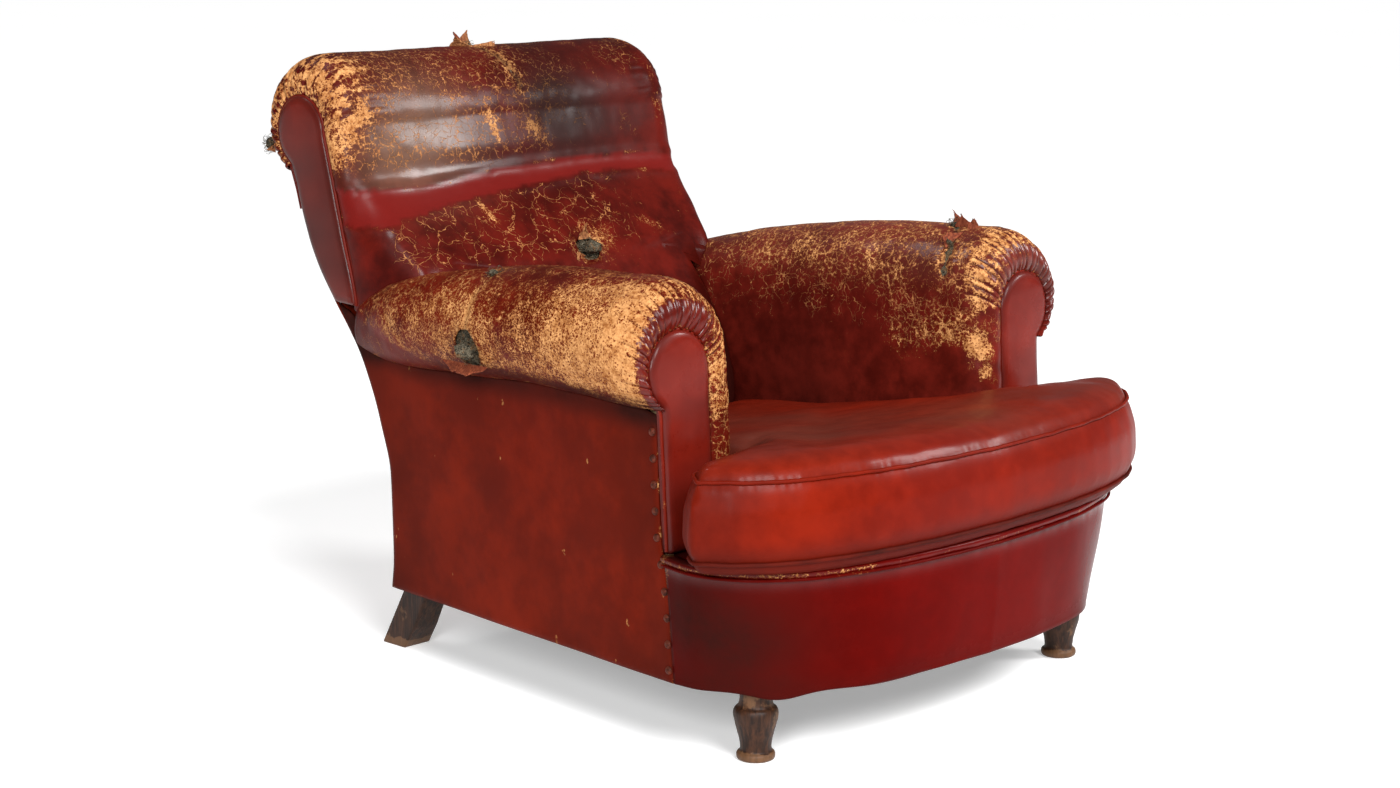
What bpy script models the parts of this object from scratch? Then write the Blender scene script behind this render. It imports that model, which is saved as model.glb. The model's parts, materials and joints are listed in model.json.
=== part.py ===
"""Worn leather club chair with scroll arms, a scroll back and a loose T cushion.

Metres, +Z up. The chair faces -Y and stands on z = 0; the origin is the centre of its
footprint. Each side is made by the same function with side = -1 (left) or +1 (right).
"""
import math

import bmesh
import bpy
import numpy as np
from mathutils import Vector

# Driving dimensions.
GAP = 0.0004  # clearance between touching pieces
HESSIAN_THICK, STRAP_THICK = 0.0015, 0.0022
HIDE = 0.0026  # thickness of the leather covers with their lining
PANEL = 0.005  # leather over card: outside arms and outside back
BASE_Z = 0.094  # bottom edge of the upholstery
RAIL_LOW, RAIL_HIGH = 0.1045, 0.176
RAIL_WIDE = 0.024

# Plan of the outer sides: half width at the front and its taper towards the rear.
SIDE_FRONT_Y, SIDE_FRONT_X, SIDE_TAPER = -0.331, 0.389, 0.0872

# Front edge of the side panels (z, y), and the front border's half plans, from the panel
# round the corner to the middle: the corner is rounder at the bottom than at the top.
PANEL_EDGE = [(0.094, -0.327), (0.178, -0.323), (0.228, -0.316), (0.277, -0.304),
              (0.410, -0.2955), (0.436, -0.2945)]
BORDER_LOW = [(0.3885, -0.330), (0.384, -0.368), (0.360, -0.408), (0.318, -0.450),
              (0.250, -0.497), (0.120, -0.524), (0.0, -0.531)]
BORDER_HIGH = [(0.3885, -0.312), (0.397, -0.372), (0.376, -0.432), (0.325, -0.480),
               (0.232, -0.515), (0.100, -0.536), (0.0, -0.541)]
BORDER_TOP = 0.256
CORNER_DROP = 0.010  # the border dips over the top of each front leg

# Seat deck: level before the arms, then sloping down to the rear.
DECK_Z, DECK_SLOPE, DECK_FOLD, DECK_REAR = 0.2560, 0.095, -0.331, 0.165
ARM_INNER = 0.2500  # half width between the arms
SEAT_PAD, ARM_PAD, BACK_PAD = 0.034, 0.024, 0.0385  # depth of the stuffing

# Arm roll along its length (y, value): top height, half height, outer reach.
ARM_TOP = [(-0.27, 0.602), (-0.09, 0.597), (0.085, 0.577), (0.22, 0.553), (0.358, 0.516)]
ARM_HALF = [(-0.27, 0.086), (0.02, 0.077), (0.22, 0.067), (0.358, 0.052)]
ARM_OUTER = [(-0.27, 0.436), (0.0, 0.413), (0.22, 0.381), (0.358, 0.337)]
ARM_STATIONS = [0.358, 0.285, 0.225, 0.115, -0.01, -0.14, -0.252]
ARM_TURN = 0.058  # how far the cover bulges in front of its last station
ARM_BOTTOM = [(-0.30, 0.238), (0.225, 0.238), (0.285, 0.400), (0.358, 0.440)]
ARM_FACE_POINTS, BACK_FACE_POINTS, BACK_COLUMNS = 5, 13, 6
ARM_PLEATS, BACK_PLEATS = 13, 13
PLEAT_HIGH = 0.0030

# Scroll facings: centre, radius and the neck below it.
ARM_EYE, ARM_EYE_R = (0.353, 0.488), 0.053
ARM_NECK_OUTER, ARM_FACE_Y, ARM_RAKE = 0.3835, -0.2965, 0.05
BACK_EYE, BACK_EYE_R = (0.478, 0.735), 0.052
FACING = 0.0065

# Inside back: profile (y, z) from behind the cushion up to the roll, and the roll.
# Below BACK_SHOULDER it lies between the arms, above it it spreads over them.
BACK_LOWER = [(0.178, 0.232), (0.140, 0.315), (0.152, 0.385), (0.190, 0.460), (0.236, 0.520),
              (0.256, 0.545)]
BACK_UPPER = [(0.266, 0.556), (0.308, 0.600), (0.345, 0.640), (0.366, 0.672), (0.374, 0.712),
              (0.383, 0.751)]
BACK_SHOULDER = 0.550
BACK_ROLL, BACK_ROLL_R = (0.476, 0.751), (0.093, 0.094)
BACK_FACE_EDGE = [(0.3605, 0.4935), (0.3665, 0.5215), (0.382, 0.574), (0.401, 0.644), (0.426, 0.735)]
BACK_BETWEEN, BACK_WIDE = 0.2440, [(0.550, 0.320), (0.62, 0.3285), (0.86, 0.3300)]
BACK_REAR = [(0.094, 0.292), (0.14, 0.287), (0.26, 0.290), (0.338, 0.314), (0.413, 0.351),
             (0.459, 0.384), (0.50, 0.418), (0.58, 0.470), (0.672, 0.500)]
BACK_TURN = 0.048

# Seat cushion.
CUSHION_PLAN = [(0.0, -0.563), (0.14, -0.556), (0.27, -0.534), (0.355, -0.503), (0.415, -0.458),
                (0.442, -0.415), (0.428, -0.388), (0.370, -0.362), (0.275, -0.332)]
CUSHION_LIFT = 0.0034
CUSHION_TOP = [(-0.57, 0.394), (-0.50, 0.395), (-0.40, 0.392), (-0.345, 0.384), (-0.238, 0.361),
               (-0.116, 0.337), (0.0, 0.327), (0.145, 0.310)]
CUSHION_REAR = 0.134

# Nails down the front edge of each side panel.
NAIL_R, NAIL_PROUD, NAIL_FIRST, NAIL_LAST, NAIL_COUNT = 0.0053, 0.0036, 0.112, 0.414, 10

# Worn holes: centre and half sizes, and the horsehair that shows in them.
ARM_HOLE, ARM_HOLE_SIZE = (-0.402, 0.036, 0.480), (0.030, 0.021, 0.017)
BACK_HOLE, BACK_HOLE_SIZE = (0.022, 0.246, 0.556), (0.020, 0.022, 0.013)

# Legs.
FRONT_LEG = (0.319, -0.406)
FRONT_TURNING = [(0.0225, 0.0), (0.0245, 0.0025), (0.0245, 0.0085), (0.0205, 0.012),
                 (0.0200, 0.020), (0.0235, 0.036), (0.0280, 0.053), (0.0285, 0.062), (0.0225, 0.070)]
FRONT_DOWEL = 0.0212
REAR_LEG_X = 0.289
REAR_LEG_PATH = [(0.317, 0.0), (0.290, 0.045), (0.264, 0.090), (0.256, 0.140), (0.255, 0.210),
                 (0.264, 0.290), (0.290, 0.370), (0.338, 0.445), (0.390, 0.520), (0.426, 0.600),
                 (0.442, 0.672)]

# Springs stand where the straps of the webbing cross.
SPRING_XS, SPRING_YS = (-0.124, 0.0, 0.124), (-0.3697, -0.1591, 0.0514)
BACK_SPRING_XS, BACK_SPRING_ZS = (-0.166, 0.166), (0.441, 0.574)
SPRING_R, SPRING_WAIST, SPRING_TURNS, SPRING_WIRE = 0.042, 0.028, 3.5, 0.002

LEATHER_ARM = ("arm_leather", (0.20, 0.045, 0.028), 0.42, 0.0)
LEATHER_BACK = ("back_leather", (0.17, 0.035, 0.026), 0.42, 0.0)
LEATHER_PANEL = ("panel_leather", (0.15, 0.022, 0.020), 0.42, 0.0)
LEATHER_CUSHION = ("cushion_leather", (0.24, 0.045, 0.032), 0.40, 0.0)
LEATHER_BORDER = ("border_leather", (0.22, 0.012, 0.012), 0.34, 0.0)
LEG_WOOD = ("leg_wood", (0.060, 0.034, 0.020), 0.45, 0.0)
FRAME_WOOD = ("frame_beech", (0.52, 0.36, 0.21), 0.70, 0.0)
HESSIAN = ("hessian", (0.42, 0.32, 0.19), 0.95, 0.0)
WEBBING = ("webbing", (0.36, 0.29, 0.18), 0.95, 0.0)
HORSEHAIR = ("horsehair", (0.065, 0.060, 0.052), 0.95, 0.0)
STEEL = ("spring_steel", (0.34, 0.31, 0.28), 0.45, 1.0)
BLACK_CLOTH = ("black_cloth", (0.030, 0.028, 0.027), 0.95, 0.0)


# Curves.

def hermite(vs, ws, slopes, v):
    """A cubic through values ws at vs with the given slopes, read at v."""
    v = min(max(v, vs[0]), vs[-1])
    i = min(max(int(np.searchsorted(vs, v)) - 1, 0), len(vs) - 2)
    step = vs[i + 1] - vs[i]
    t = (v - vs[i]) / step
    return float((2 * t**3 - 3 * t**2 + 1) * ws[i] + (t**3 - 2 * t**2 + t) * step * slopes[i]
                 + (3 * t**2 - 2 * t**3) * ws[i + 1] + (t**3 - t**2) * step * slopes[i + 1])


def value_at(knots, v):
    """The value at v of a smooth curve through (v, value) knots that never overshoots."""
    vs, ws = np.array(knots, float).T
    rates = np.diff(ws) / np.diff(vs)
    slopes = np.zeros(len(vs))
    slopes[0], slopes[-1] = rates[0], rates[-1]
    for i in range(1, len(vs) - 1):
        before, after = rates[i - 1], rates[i]
        if before * after > 0:
            slopes[i] = 2 * before * after / (before + after)
    return hermite(vs, ws, slopes, v)


def spline(points, count):
    """count points, evenly spaced, on a smooth curve through the given ones."""
    points = np.array(points, float)
    reach = np.concatenate([[0], np.cumsum(np.linalg.norm(np.diff(points, axis=0), axis=1))])
    slopes = np.gradient(points, reach, axis=0)
    marks = np.linspace(0, reach[-1], count)
    columns = [[hermite(reach, points[:, c], slopes[:, c], m) for m in marks]
               for c in range(points.shape[1])]
    return np.array(columns).T


def arc(centre, radii, start, end, count):
    """Points on an elliptic arc, angles in degrees."""
    angles = np.radians(np.linspace(start, end, count))
    return np.stack([centre[0] + radii[0] * np.cos(angles),
                     centre[1] + radii[1] * np.sin(angles)], axis=1)


def side_x(y):
    return SIDE_FRONT_X - SIDE_TAPER * (y - SIDE_FRONT_Y)


def deck_z(y):
    return DECK_Z - DECK_SLOPE * max(y - DECK_FOLD, 0.0)


def rear_y(z):
    return value_at(BACK_REAR, z)


def arm_shape(y):
    """Centre and half axes of the arm roll at y."""
    half = value_at(ARM_HALF, y)
    outer = value_at(ARM_OUTER, y)
    centre = ((outer + ARM_INNER) / 2, value_at(ARM_TOP, y) - half)
    return centre, ((outer - ARM_INNER) / 2, half)


def arm_section(y, face_count, roll_count, inset=0.0):
    """Section (x, z): up the inner face, over the roll and under to the side panel."""
    centre, (wide, high) = arm_shape(y)
    wide, high = wide - inset, high - inset
    reach = (side_x(y) + 0.0045 - centre[0]) / wide
    end = -math.degrees(math.acos(min(max(reach, 0.05), 0.95)))
    bottom = value_at(ARM_BOTTOM, y)
    heights = np.linspace(bottom, centre[1], face_count)[:-1]
    rise = (heights - bottom) / (centre[1] - bottom)
    face = np.stack([centre[0] - wide - 0.005 * np.sin(math.pi * rise), heights], axis=1)
    return np.concatenate([face, arc(centre, (wide, high), 180, end, roll_count)])


def arm_facing_outline(face_count, roll_count, bottom=ARM_BOTTOM[0][1], inset=0.0):
    """Keyhole outline (x, z), in step with arm_section, up to the outer notch."""
    radius = ARM_EYE_R - inset
    notch = -math.degrees(math.acos((ARM_NECK_OUTER - inset - ARM_EYE[0]) / radius))
    heights = np.linspace(bottom, ARM_EYE[1], face_count)[:-1]
    neck = np.stack([np.full(len(heights), ARM_EYE[0] - radius), heights], axis=1)
    return np.concatenate([neck, arc(ARM_EYE, (radius, radius), 180, notch, roll_count)])


def arm_face_y(z):
    return ARM_FACE_Y + ARM_RAKE * (z - ARM_EYE[1])


def back_section(face_count, roll_count, inset=0.0):
    """Profile (y, z): up the inside back, over the roll and under to the outside back."""
    lower = spline(BACK_LOWER, face_count // 2)
    face = np.concatenate([lower, spline(BACK_UPPER, face_count - face_count // 2)])
    slope = np.gradient(face, axis=0)
    slope /= np.linalg.norm(slope, axis=1, keepdims=True)
    face = face + inset * np.stack([slope[:, 1], -slope[:, 0]], axis=1)
    radii = (BACK_ROLL_R[0] - inset, BACK_ROLL_R[1] - inset)
    return np.concatenate([face[:-1], arc(BACK_ROLL, radii, 180, -58, roll_count)])


def back_half(z):
    """Half width of the inside back at height z."""
    return BACK_BETWEEN if z < BACK_SHOULDER else value_at(BACK_WIDE, z)


def back_crown(u, y, z):
    """How far the inside back stands forward of its edges, across its width."""
    down, ahead = (0.80 - z) / 0.10, (BACK_ROLL[0] - y) / 0.05
    return 0.010 * (1 - u * u) * min(max(down, 0), 1) * min(max(ahead, 0), 1)


def back_facing_outline(section, face_count, roll_count):
    """Points (x, y, z) where the back cover ends, in step with the given section."""
    points = []
    edge = [(z, y) for y, z in BACK_FACE_EDGE]
    low, high = edge[1][0], edge[-1][0]
    half = back_half(1.0) - 0.002
    for y, z in section[:face_count - 1]:
        if z < BACK_SHOULDER:
            points.append((BACK_BETWEEN - 0.0046, y + 0.055, z))
            continue
        down = low + (high - low) * (z - BACK_SHOULDER) / (BACK_ROLL[1] - BACK_SHOULDER)
        points.append((half, value_at(edge, down), down))
    for y, z in arc(BACK_EYE, (BACK_EYE_R, BACK_EYE_R), 180, -62, roll_count):
        points.append((half, y, z))
    return np.array(points)


# Meshes.

def finish_of(kind):
    name, colour, roughness, metallic = kind
    found = bpy.data.materials.get(name)
    if found:
        return found
    made = bpy.data.materials.new(name)
    made.use_nodes = True
    shader = made.node_tree.nodes["Principled BSDF"]
    shader.inputs["Base Color"].default_value = (*colour, 1.0)
    shader.inputs["Roughness"].default_value = roughness
    shader.inputs["Metallic"].default_value = metallic
    made.diffuse_color = (*colour, 1.0)
    return made


def add_object(name, bm, kind, crease=40.0):
    bmesh.ops.recalc_face_normals(bm, faces=bm.faces)
    mesh = bpy.data.meshes.new(name)
    bm.to_mesh(mesh)
    bm.free()
    mesh.materials.append(finish_of(kind))
    mesh.shade_smooth()
    mesh.set_sharp_from_angle(angle=math.radians(crease))
    made = bpy.data.objects.new(name, mesh)
    bpy.context.scene.collection.objects.link(made)
    return made


def grid_normals(grid):
    normals = np.cross(np.gradient(grid, axis=0), np.gradient(grid, axis=1))
    return normals / np.maximum(np.linalg.norm(normals, axis=2, keepdims=True), 1e-9)


def skin(bm, grid):
    """Faces over a grid of points; returns its vertices."""
    rows = [[bm.verts.new(p) for p in row] for row in grid]
    for a, b in zip(rows, rows[1:]):
        for i in range(len(a) - 1):
            bm.faces.new((a[i], a[i + 1], b[i + 1], b[i]))
    return rows


def shell(name, outer, inner, kind):
    """A closed sheet between two grids of the same size."""
    bm = bmesh.new()
    top, under = skin(bm, outer), skin(bm, inner)
    rims = [(top[0], under[0]), (top[-1], under[-1]),
            ([r[0] for r in top], [r[0] for r in under]),
            ([r[-1] for r in top], [r[-1] for r in under])]
    for a, b in rims:
        for i in range(len(a) - 1):
            bm.faces.new((a[i], a[i + 1], b[i + 1], b[i]))
    return add_object(name, bm, kind)


def loft(name, rings, kind, crease=40.0):
    """A closed body through rings of the same count, capped at both ends."""
    bm = bmesh.new()
    rows = [[bm.verts.new(p) for p in ring] for ring in rings]
    for a, b in zip(rows, rows[1:]):
        for i in range(len(a)):
            j = (i + 1) % len(a)
            bm.faces.new((a[i], a[j], b[j], b[i]))
    bm.faces.new(rows[0])
    bm.faces.new(rows[-1])
    return add_object(name, bm, kind, crease)


def slab(name, outline, thickness, kind, crease=40.0):
    """A flat outline of 3-D points pushed along the given vector."""
    push = np.array(thickness, float)
    outline = np.array(outline, float)
    return loft(name, [outline, outline + push], kind, crease)


def mirrored(points, side):
    points = np.array(points, float)
    points[..., 0] *= side
    return points


def label(stem, side):
    return f"{stem}_{'left' if side < 0 else 'right'}"


def lump(centre, size, scale=1.0, roughness=0.14):
    """A rough egg-shaped lump, as a helper mesh."""
    bm = bmesh.new()
    bmesh.ops.create_icosphere(bm, subdivisions=1, radius=1.0)
    for vert in bm.verts:
        a, b, c = vert.co * 4.1
        rough = scale * (1 + roughness * math.sin(a) * math.sin(b * 1.3 + 2) * math.cos(c))
        vert.co = Vector([centre[k] + vert.co[k] * size[k] * rough for k in range(3)])
    return bm


# Frame.

def front_leg(side):
    x, y = FRONT_LEG
    angles = [math.radians(30 * k) for k in range(12)]
    rings = [[(r * math.cos(a), r * math.sin(a), z) for a in angles] for r, z in FRONT_TURNING]
    rings += [[(FRONT_DOWEL * math.cos(a), FRONT_DOWEL * math.sin(a), z) for a in angles]
              for z in (0.0725, RAIL_HIGH)]
    made = loft(label("front_leg", side), rings, LEG_WOOD)
    made.location = (side * x, y, 0)
    return made


def rear_leg_size(z):
    """Centre, half width and half depth of the rear leg and post at height z."""
    thinner = min(z / 0.30, 1)
    x = REAR_LEG_X + 0.006 * min(z / 0.2, 1)
    return x, 0.0240 - 0.006 * thinner, 0.0245 - 0.009 * thinner


def rear_leg_inner(z):
    x, wide, _ = rear_leg_size(z)
    return x - wide


def rear_leg_edges():
    """Front and rear edges (y, z) of the rear leg and post."""
    path = np.array(REAR_LEG_PATH)
    along = np.gradient(path, axis=0)
    along[0] = (0, 1)
    along /= np.linalg.norm(along, axis=1, keepdims=True)
    deep = np.array([[rear_leg_size(z)[2]] for _, z in path])
    across = deep * np.stack([along[:, 1], -along[:, 0]], axis=1)
    return path - across, path + across


def rear_leg(side):
    """Rear leg and back post, sawn from one piece."""
    rings = []
    for front, rear, (_, z) in zip(*rear_leg_edges(), REAR_LEG_PATH):
        x, wide, _ = rear_leg_size(z)
        x *= side
        rings.append([(x - wide, *front), (x + wide, *front), (x + wide, *rear), (x - wide, *rear)])
    return loft(label("rear_leg", side), rings, LEG_WOOD)


def border_curve(z, inset, count):
    """Half of the front border's plan at height z, moved inwards."""
    share = min(max((z - BASE_Z) / (BORDER_TOP - BASE_Z), 0), 1)
    plan = (1 - share) * np.array(BORDER_LOW) + share * np.array(BORDER_HIGH)
    plan[0, 1] = value_at(PANEL_EDGE, z) - 0.0012
    curve = spline(plan, count)
    slope = np.gradient(curve, axis=0)
    slope /= np.linalg.norm(slope, axis=1, keepdims=True)
    return curve + inset * np.stack([slope[:, 1], -slope[:, 0]], axis=1)


def both_sides(half):
    """A half plan that ends at x = 0, with its mirror image."""
    other = half[:-1][::-1] * np.array([-1, 1])
    return np.concatenate([half, other])


def seat_rails():
    for side in (-1, 1):
        leg, front, rear = FRONT_LEG[1] + FRONT_DOWEL + GAP, -0.330, 0.2350
        outer = PANEL + GAP
        plan = [(FRONT_LEG[0] + 0.024, leg), (side_x(front) - outer, front),
                (side_x(rear) - outer, rear), (side_x(rear) - outer - RAIL_WIDE, rear),
                (side_x(front) - outer - RAIL_WIDE, front), (FRONT_LEG[0] - 0.004, leg)]
        slab(label("side_rail", side), mirrored([(x, y, RAIL_LOW) for x, y in plan], side),
             (0, 0, RAIL_HIGH - RAIL_LOW), FRAME_WOOD)
    limit = FRONT_LEG[0] - FRONT_DOWEL - GAP
    xs = np.linspace(-limit, limit, 13)
    outer = border_curve(BASE_Z, HIDE + 0.004, 60)[::-1]
    ys = np.interp(np.abs(xs), outer[:, 0], outer[:, 1])
    front = [(x, y, RAIL_LOW) for x, y in zip(xs, ys)]
    back = [(x, y + RAIL_WIDE + 0.014, RAIL_LOW) for x, y in zip(xs, ys)][::-1]
    slab("front_rail", front + back, (0, 0, RAIL_HIGH - RAIL_LOW), FRAME_WOOD)
    half = rear_leg_inner(RAIL_LOW) - GAP
    plan = [(-half, 0.240), (half, 0.240), (half, 0.264), (-half, 0.264)]
    slab("rear_rail", [(x, y, RAIL_LOW) for x, y in plan], (0, 0, RAIL_HIGH - RAIL_LOW), FRAME_WOOD)


def arm_frame(side):
    thick = 0.022
    outline = arm_facing_outline(3, 13, RAIL_HIGH + GAP, 0.0012)
    neck = [(ARM_NECK_OUTER - 0.0012, RAIL_HIGH + GAP)]
    outline = np.concatenate([outline, neck])
    outline[:, 0] = np.minimum(outline[:, 0], ARM_NECK_OUTER - 0.009)
    points = [(x, arm_face_y(z) + 0.0012, z) for x, z in outline]
    slab(label("arm_post", side), mirrored(points, side), (0, thick, 0), FRAME_WOOD)
    front = arm_face_y(0.575) + 0.0012 + thick + GAP
    post, _ = rear_leg_edges()
    under = value_at(ARM_TOP, 0.32) - 2 * value_at(ARM_HALF, 0.32) + ARM_PAD + HIDE
    rear = np.interp(under, post[:, 1], post[:, 0]) - 2 * GAP
    inset = HIDE + ARM_PAD + 0.0024
    rings = []
    for y in [front, *[s for s in ARM_STATIONS[::-1] if s < 0.23], rear]:
        centre, (wide, high) = arm_shape(y)
        rings.append([(x, y, z) for x, z in arc(centre, (wide - inset, high - inset), 0, 324, 10)])
    loft(label("arm_rail", side), [mirrored(r, side) for r in rings], FRAME_WOOD)


def back_frame():
    half = rear_leg_inner(0.30) - GAP
    end = back_half(1.0) - 0.009 - GAP
    radius = BACK_ROLL_R[0] - HIDE - BACK_PAD - 0.0030
    rings = [[(x, y, z) for y, z in arc(BACK_ROLL, (radius, radius), 0, 330, 12)]
             for x in (-end, end)]
    loft("back_top_rail", rings, FRAME_WOOD)
    section = [(0.258, 0.300), (0.282, 0.300), (0.303, 0.360), (0.279, 0.360)]
    points = [(-half, y, z) for y, z in section]
    slab("back_lower_rail", points, (2 * half, 0, 0), FRAME_WOOD)


def lattice(name, xs, ys, place, thickness, kind):
    """Straps in both directions, woven into one sheet; xs and ys are strap edges in turn."""
    bm = bmesh.new()
    verts = {}

    def vert(i, j, k):
        if (i, j, k) not in verts:
            verts[i, j, k] = bm.verts.new(place(xs[i], ys[j], k * thickness))
        return verts[i, j, k]

    def kept(i, j):
        inside = 0 <= i < len(xs) - 1 and 0 <= j < len(ys) - 1
        return inside and (i % 2 == 1 or j % 2 == 1)

    for i in range(len(xs) - 1):
        for j in range(len(ys) - 1):
            if not kept(i, j):
                continue
            for k in (0, 1):
                bm.faces.new([vert(a, b, k) for a, b in ((i, j), (i + 1, j), (i + 1, j + 1), (i, j + 1))])
            edges = [((i, j), (i + 1, j), (i, j - 1)), ((i + 1, j), (i + 1, j + 1), (i + 1, j)),
                     ((i + 1, j + 1), (i, j + 1), (i, j + 1)), ((i, j + 1), (i, j), (i - 1, j))]
            for a, b, beyond in edges:
                if not kept(*beyond):
                    bm.faces.new((vert(*a, 0), vert(*b, 0), vert(*b, 1), vert(*a, 1)))
    return add_object(name, bm, kind)


def back_web_y(z):
    """Front of the back's webbing, which runs from post to post near their rear edges."""
    _, post = rear_leg_edges()
    return float(np.interp(z, post[:, 1], post[:, 0])) - 0.006


def strap_edges(low, high, count, wide):
    """Both ends and the two edges of each strap between them."""
    middles = np.linspace(low, high, count + 2)[1:-1]
    return [low] + [m + s * wide / 2 for m in middles for s in (-1, 1)] + [high]


def webbings():
    xs = strap_edges(-1.0, 1.0, 5, 0.17)
    ys = strap_edges(-0.475, 0.262, 6, 0.052)

    def under_rails(u, y, up):
        half = side_x(y) - PANEL - 0.006 if y > -0.33 else 0.284
        return (u * half, y, RAIL_LOW - GAP - STRAP_THICK + up)

    lattice("seat_webbing", xs, ys, under_rails, STRAP_THICK, WEBBING)

    def behind_stuffing(u, z, back):
        half = rear_leg_inner(0.30) - GAP if z > 0.47 else BACK_BETWEEN
        return (u * half, back_web_y(z) + back, z)

    lattice("back_webbing", strap_edges(-1.0, 1.0, 4, 0.18), strap_edges(0.375, 0.640, 3, 0.05),
            behind_stuffing, STRAP_THICK, WEBBING)


def spring(name, foot, length, upright=True):
    """An hourglass coil standing on foot, along +Z or, in the back, along -Y."""
    steps = int(SPRING_TURNS * 6) + 1
    curve = bpy.data.curves.new(name, "CURVE")
    curve.dimensions = "3D"
    curve.bevel_depth = SPRING_WIRE
    curve.bevel_resolution = 0
    curve.use_fill_caps = True
    line = curve.splines.new("POLY")
    line.points.add(steps - 1)
    for k in range(steps):
        t = k / (steps - 1)
        turn = 2 * math.pi * SPRING_TURNS * t + math.radians(90 if upright else -90)
        radius = SPRING_R - (SPRING_R - SPRING_WAIST) * math.sin(math.pi * t)
        height = length * (t - 0.4 * math.sin(4 * math.pi * t) / (4 * math.pi))
        line.points[k].co = (radius * math.cos(turn), radius * math.sin(turn), height, 1)
    curve.materials.append(finish_of(STEEL))
    made = bpy.data.objects.new(name, curve)
    made.location = foot
    if not upright:
        made.rotation_euler = (math.radians(90), 0, 0)
    bpy.context.scene.collection.objects.link(made)
    return made


def springs():
    stack = HIDE + GAP + SEAT_PAD + GAP + HESSIAN_THICK + GAP
    for row, y in enumerate(SPRING_YS, 1):
        low = RAIL_LOW + SPRING_WIRE
        high = deck_z(y - SPRING_R) - stack - SPRING_WIRE - 0.001
        for column, x in enumerate(SPRING_XS, 1):
            spring(f"seat_spring_{row}{column}", (x, y, low), high - low)
    section = back_section(BACK_FACE_POINTS, 13, HIDE + 0.0015 + BACK_PAD)[:BACK_FACE_POINTS]
    for row, z in enumerate(BACK_SPRING_ZS, 1):
        top = z + SPRING_R + SPRING_WIRE
        near = float(np.interp(top, section[:, 1], section[:, 0]))
        across = BACK_SPRING_XS[1] / (back_half(top - 0.045) - BACK_TURN)
        near += SPRING_WIRE - back_crown(across, near, top)
        far = back_web_y(z - SPRING_R) - SPRING_WIRE - GAP
        for column, x in enumerate(BACK_SPRING_XS, 1):
            spring(f"back_spring_{row}{column}", (x, far, z), far - near, False)


# Stuffing.

def seat_plan(inset):
    """T-shaped plan of the deck: wide before the arm fronts, narrow between the arms."""
    front = border_curve(0.21, HIDE + 0.0006 + inset, 15)
    front = [(x, y) for x, y in front if y < -0.350]
    step = ARM_INNER - 0.0085 - inset
    arm_front = ARM_FACE_Y - 0.032 - inset
    half = [(step, DECK_REAR - 0.03 - inset), (step, arm_front), (0.379 - inset, arm_front)] + front
    return both_sides(np.array(half))


def fold(bm, faces):
    """Cuts the given faces along the line where the deck starts to slope."""
    edges = {e for f in faces for e in f.edges}
    verts = {v for f in faces for v in f.verts}
    bmesh.ops.bisect_plane(bm, geom=[*verts, *edges, *faces], dist=1e-6,
                           plane_co=(0, DECK_FOLD, 0), plane_no=(0, 1, 0))


def deck_layer(name, inset, drop, thickness, kind):
    """A layer of the seat that follows the deck, drop below its top."""
    bm = bmesh.new()
    face = bm.faces.new([bm.verts.new((x, y, 0)) for x, y in seat_plan(inset)])
    fold(bm, [face])
    for vert in bm.verts:
        vert.co.z = deck_z(vert.co.y) - drop
    made = bmesh.ops.extrude_face_region(bm, geom=bm.faces[:])["geom"]
    for vert in made:
        if isinstance(vert, bmesh.types.BMVert):
            vert.co.z -= thickness
    return add_object(name, bm, kind)


def arm_stuffing(side):
    stations = [y for y in ARM_STATIONS if y < 0.23]
    outer, inner = [[[(x, y, z) for x, z in arm_section(y, ARM_FACE_POINTS, 13, HIDE + GAP + d)]
                     for y in stations] for d in (0, ARM_PAD)]
    made = shell(label("arm_stuffing", side), mirrored(outer, side), mirrored(inner, side),
                 HORSEHAIR)
    if side < 0:
        joined(made, lump(ARM_HOLE, ARM_HOLE_SIZE, 0.86), "UNION")


def back_stuffing():
    base, outer, inner = [back_section(BACK_FACE_POINTS, 13, d)
                          for d in (0, HIDE + 0.0015, HIDE + 0.0015 + BACK_PAD)]
    sheets = []
    for section in (outer, inner):
        halves = [back_half(z - 0.045) - BACK_TURN - 0.001 for _, z in base]
        sheets.append([[(u * h, y - back_crown(u, y, z), z) for u in np.linspace(-1, 1, BACK_COLUMNS)]
                       for h, (y, z) in zip(halves, section)])
    made = shell("back_stuffing", np.array(sheets[0]), np.array(sheets[1]), HORSEHAIR)
    joined(made, lump(BACK_HOLE, BACK_HOLE_SIZE, 0.86), "UNION")


# Covers.

def pleat(k):
    """Height of the gathers at a column or row of the roll."""
    return PLEAT_HIGH if k % 2 else 0.0


def turned_end(section, facing, start, turn, rows, roll_from):
    """Rows that carry a section round the end and in to the facing's outline.

    section and facing are (a, b) outlines, start and turn measure along the third axis.
    """
    made = []
    for k in range(1, rows + 1):
        angle = math.radians(120 * k / rows)
        share = (1 - math.cos(angle)) / 1.5
        bulge = math.sin(angle)
        row = []
        for i, (s, f) in enumerate(zip(section, facing)):
            lift = pleat(i - roll_from) * bulge if i > roll_from else 0.5 * pleat(i) * bulge
            ab = s + (f - s) * share
            out = (s - f) / max(np.linalg.norm(s - f), 1e-6)
            row.append((*(ab + out * lift * math.cos(angle)), start + (turn + lift) * bulge))
        made.append(row)
    return made


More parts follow.
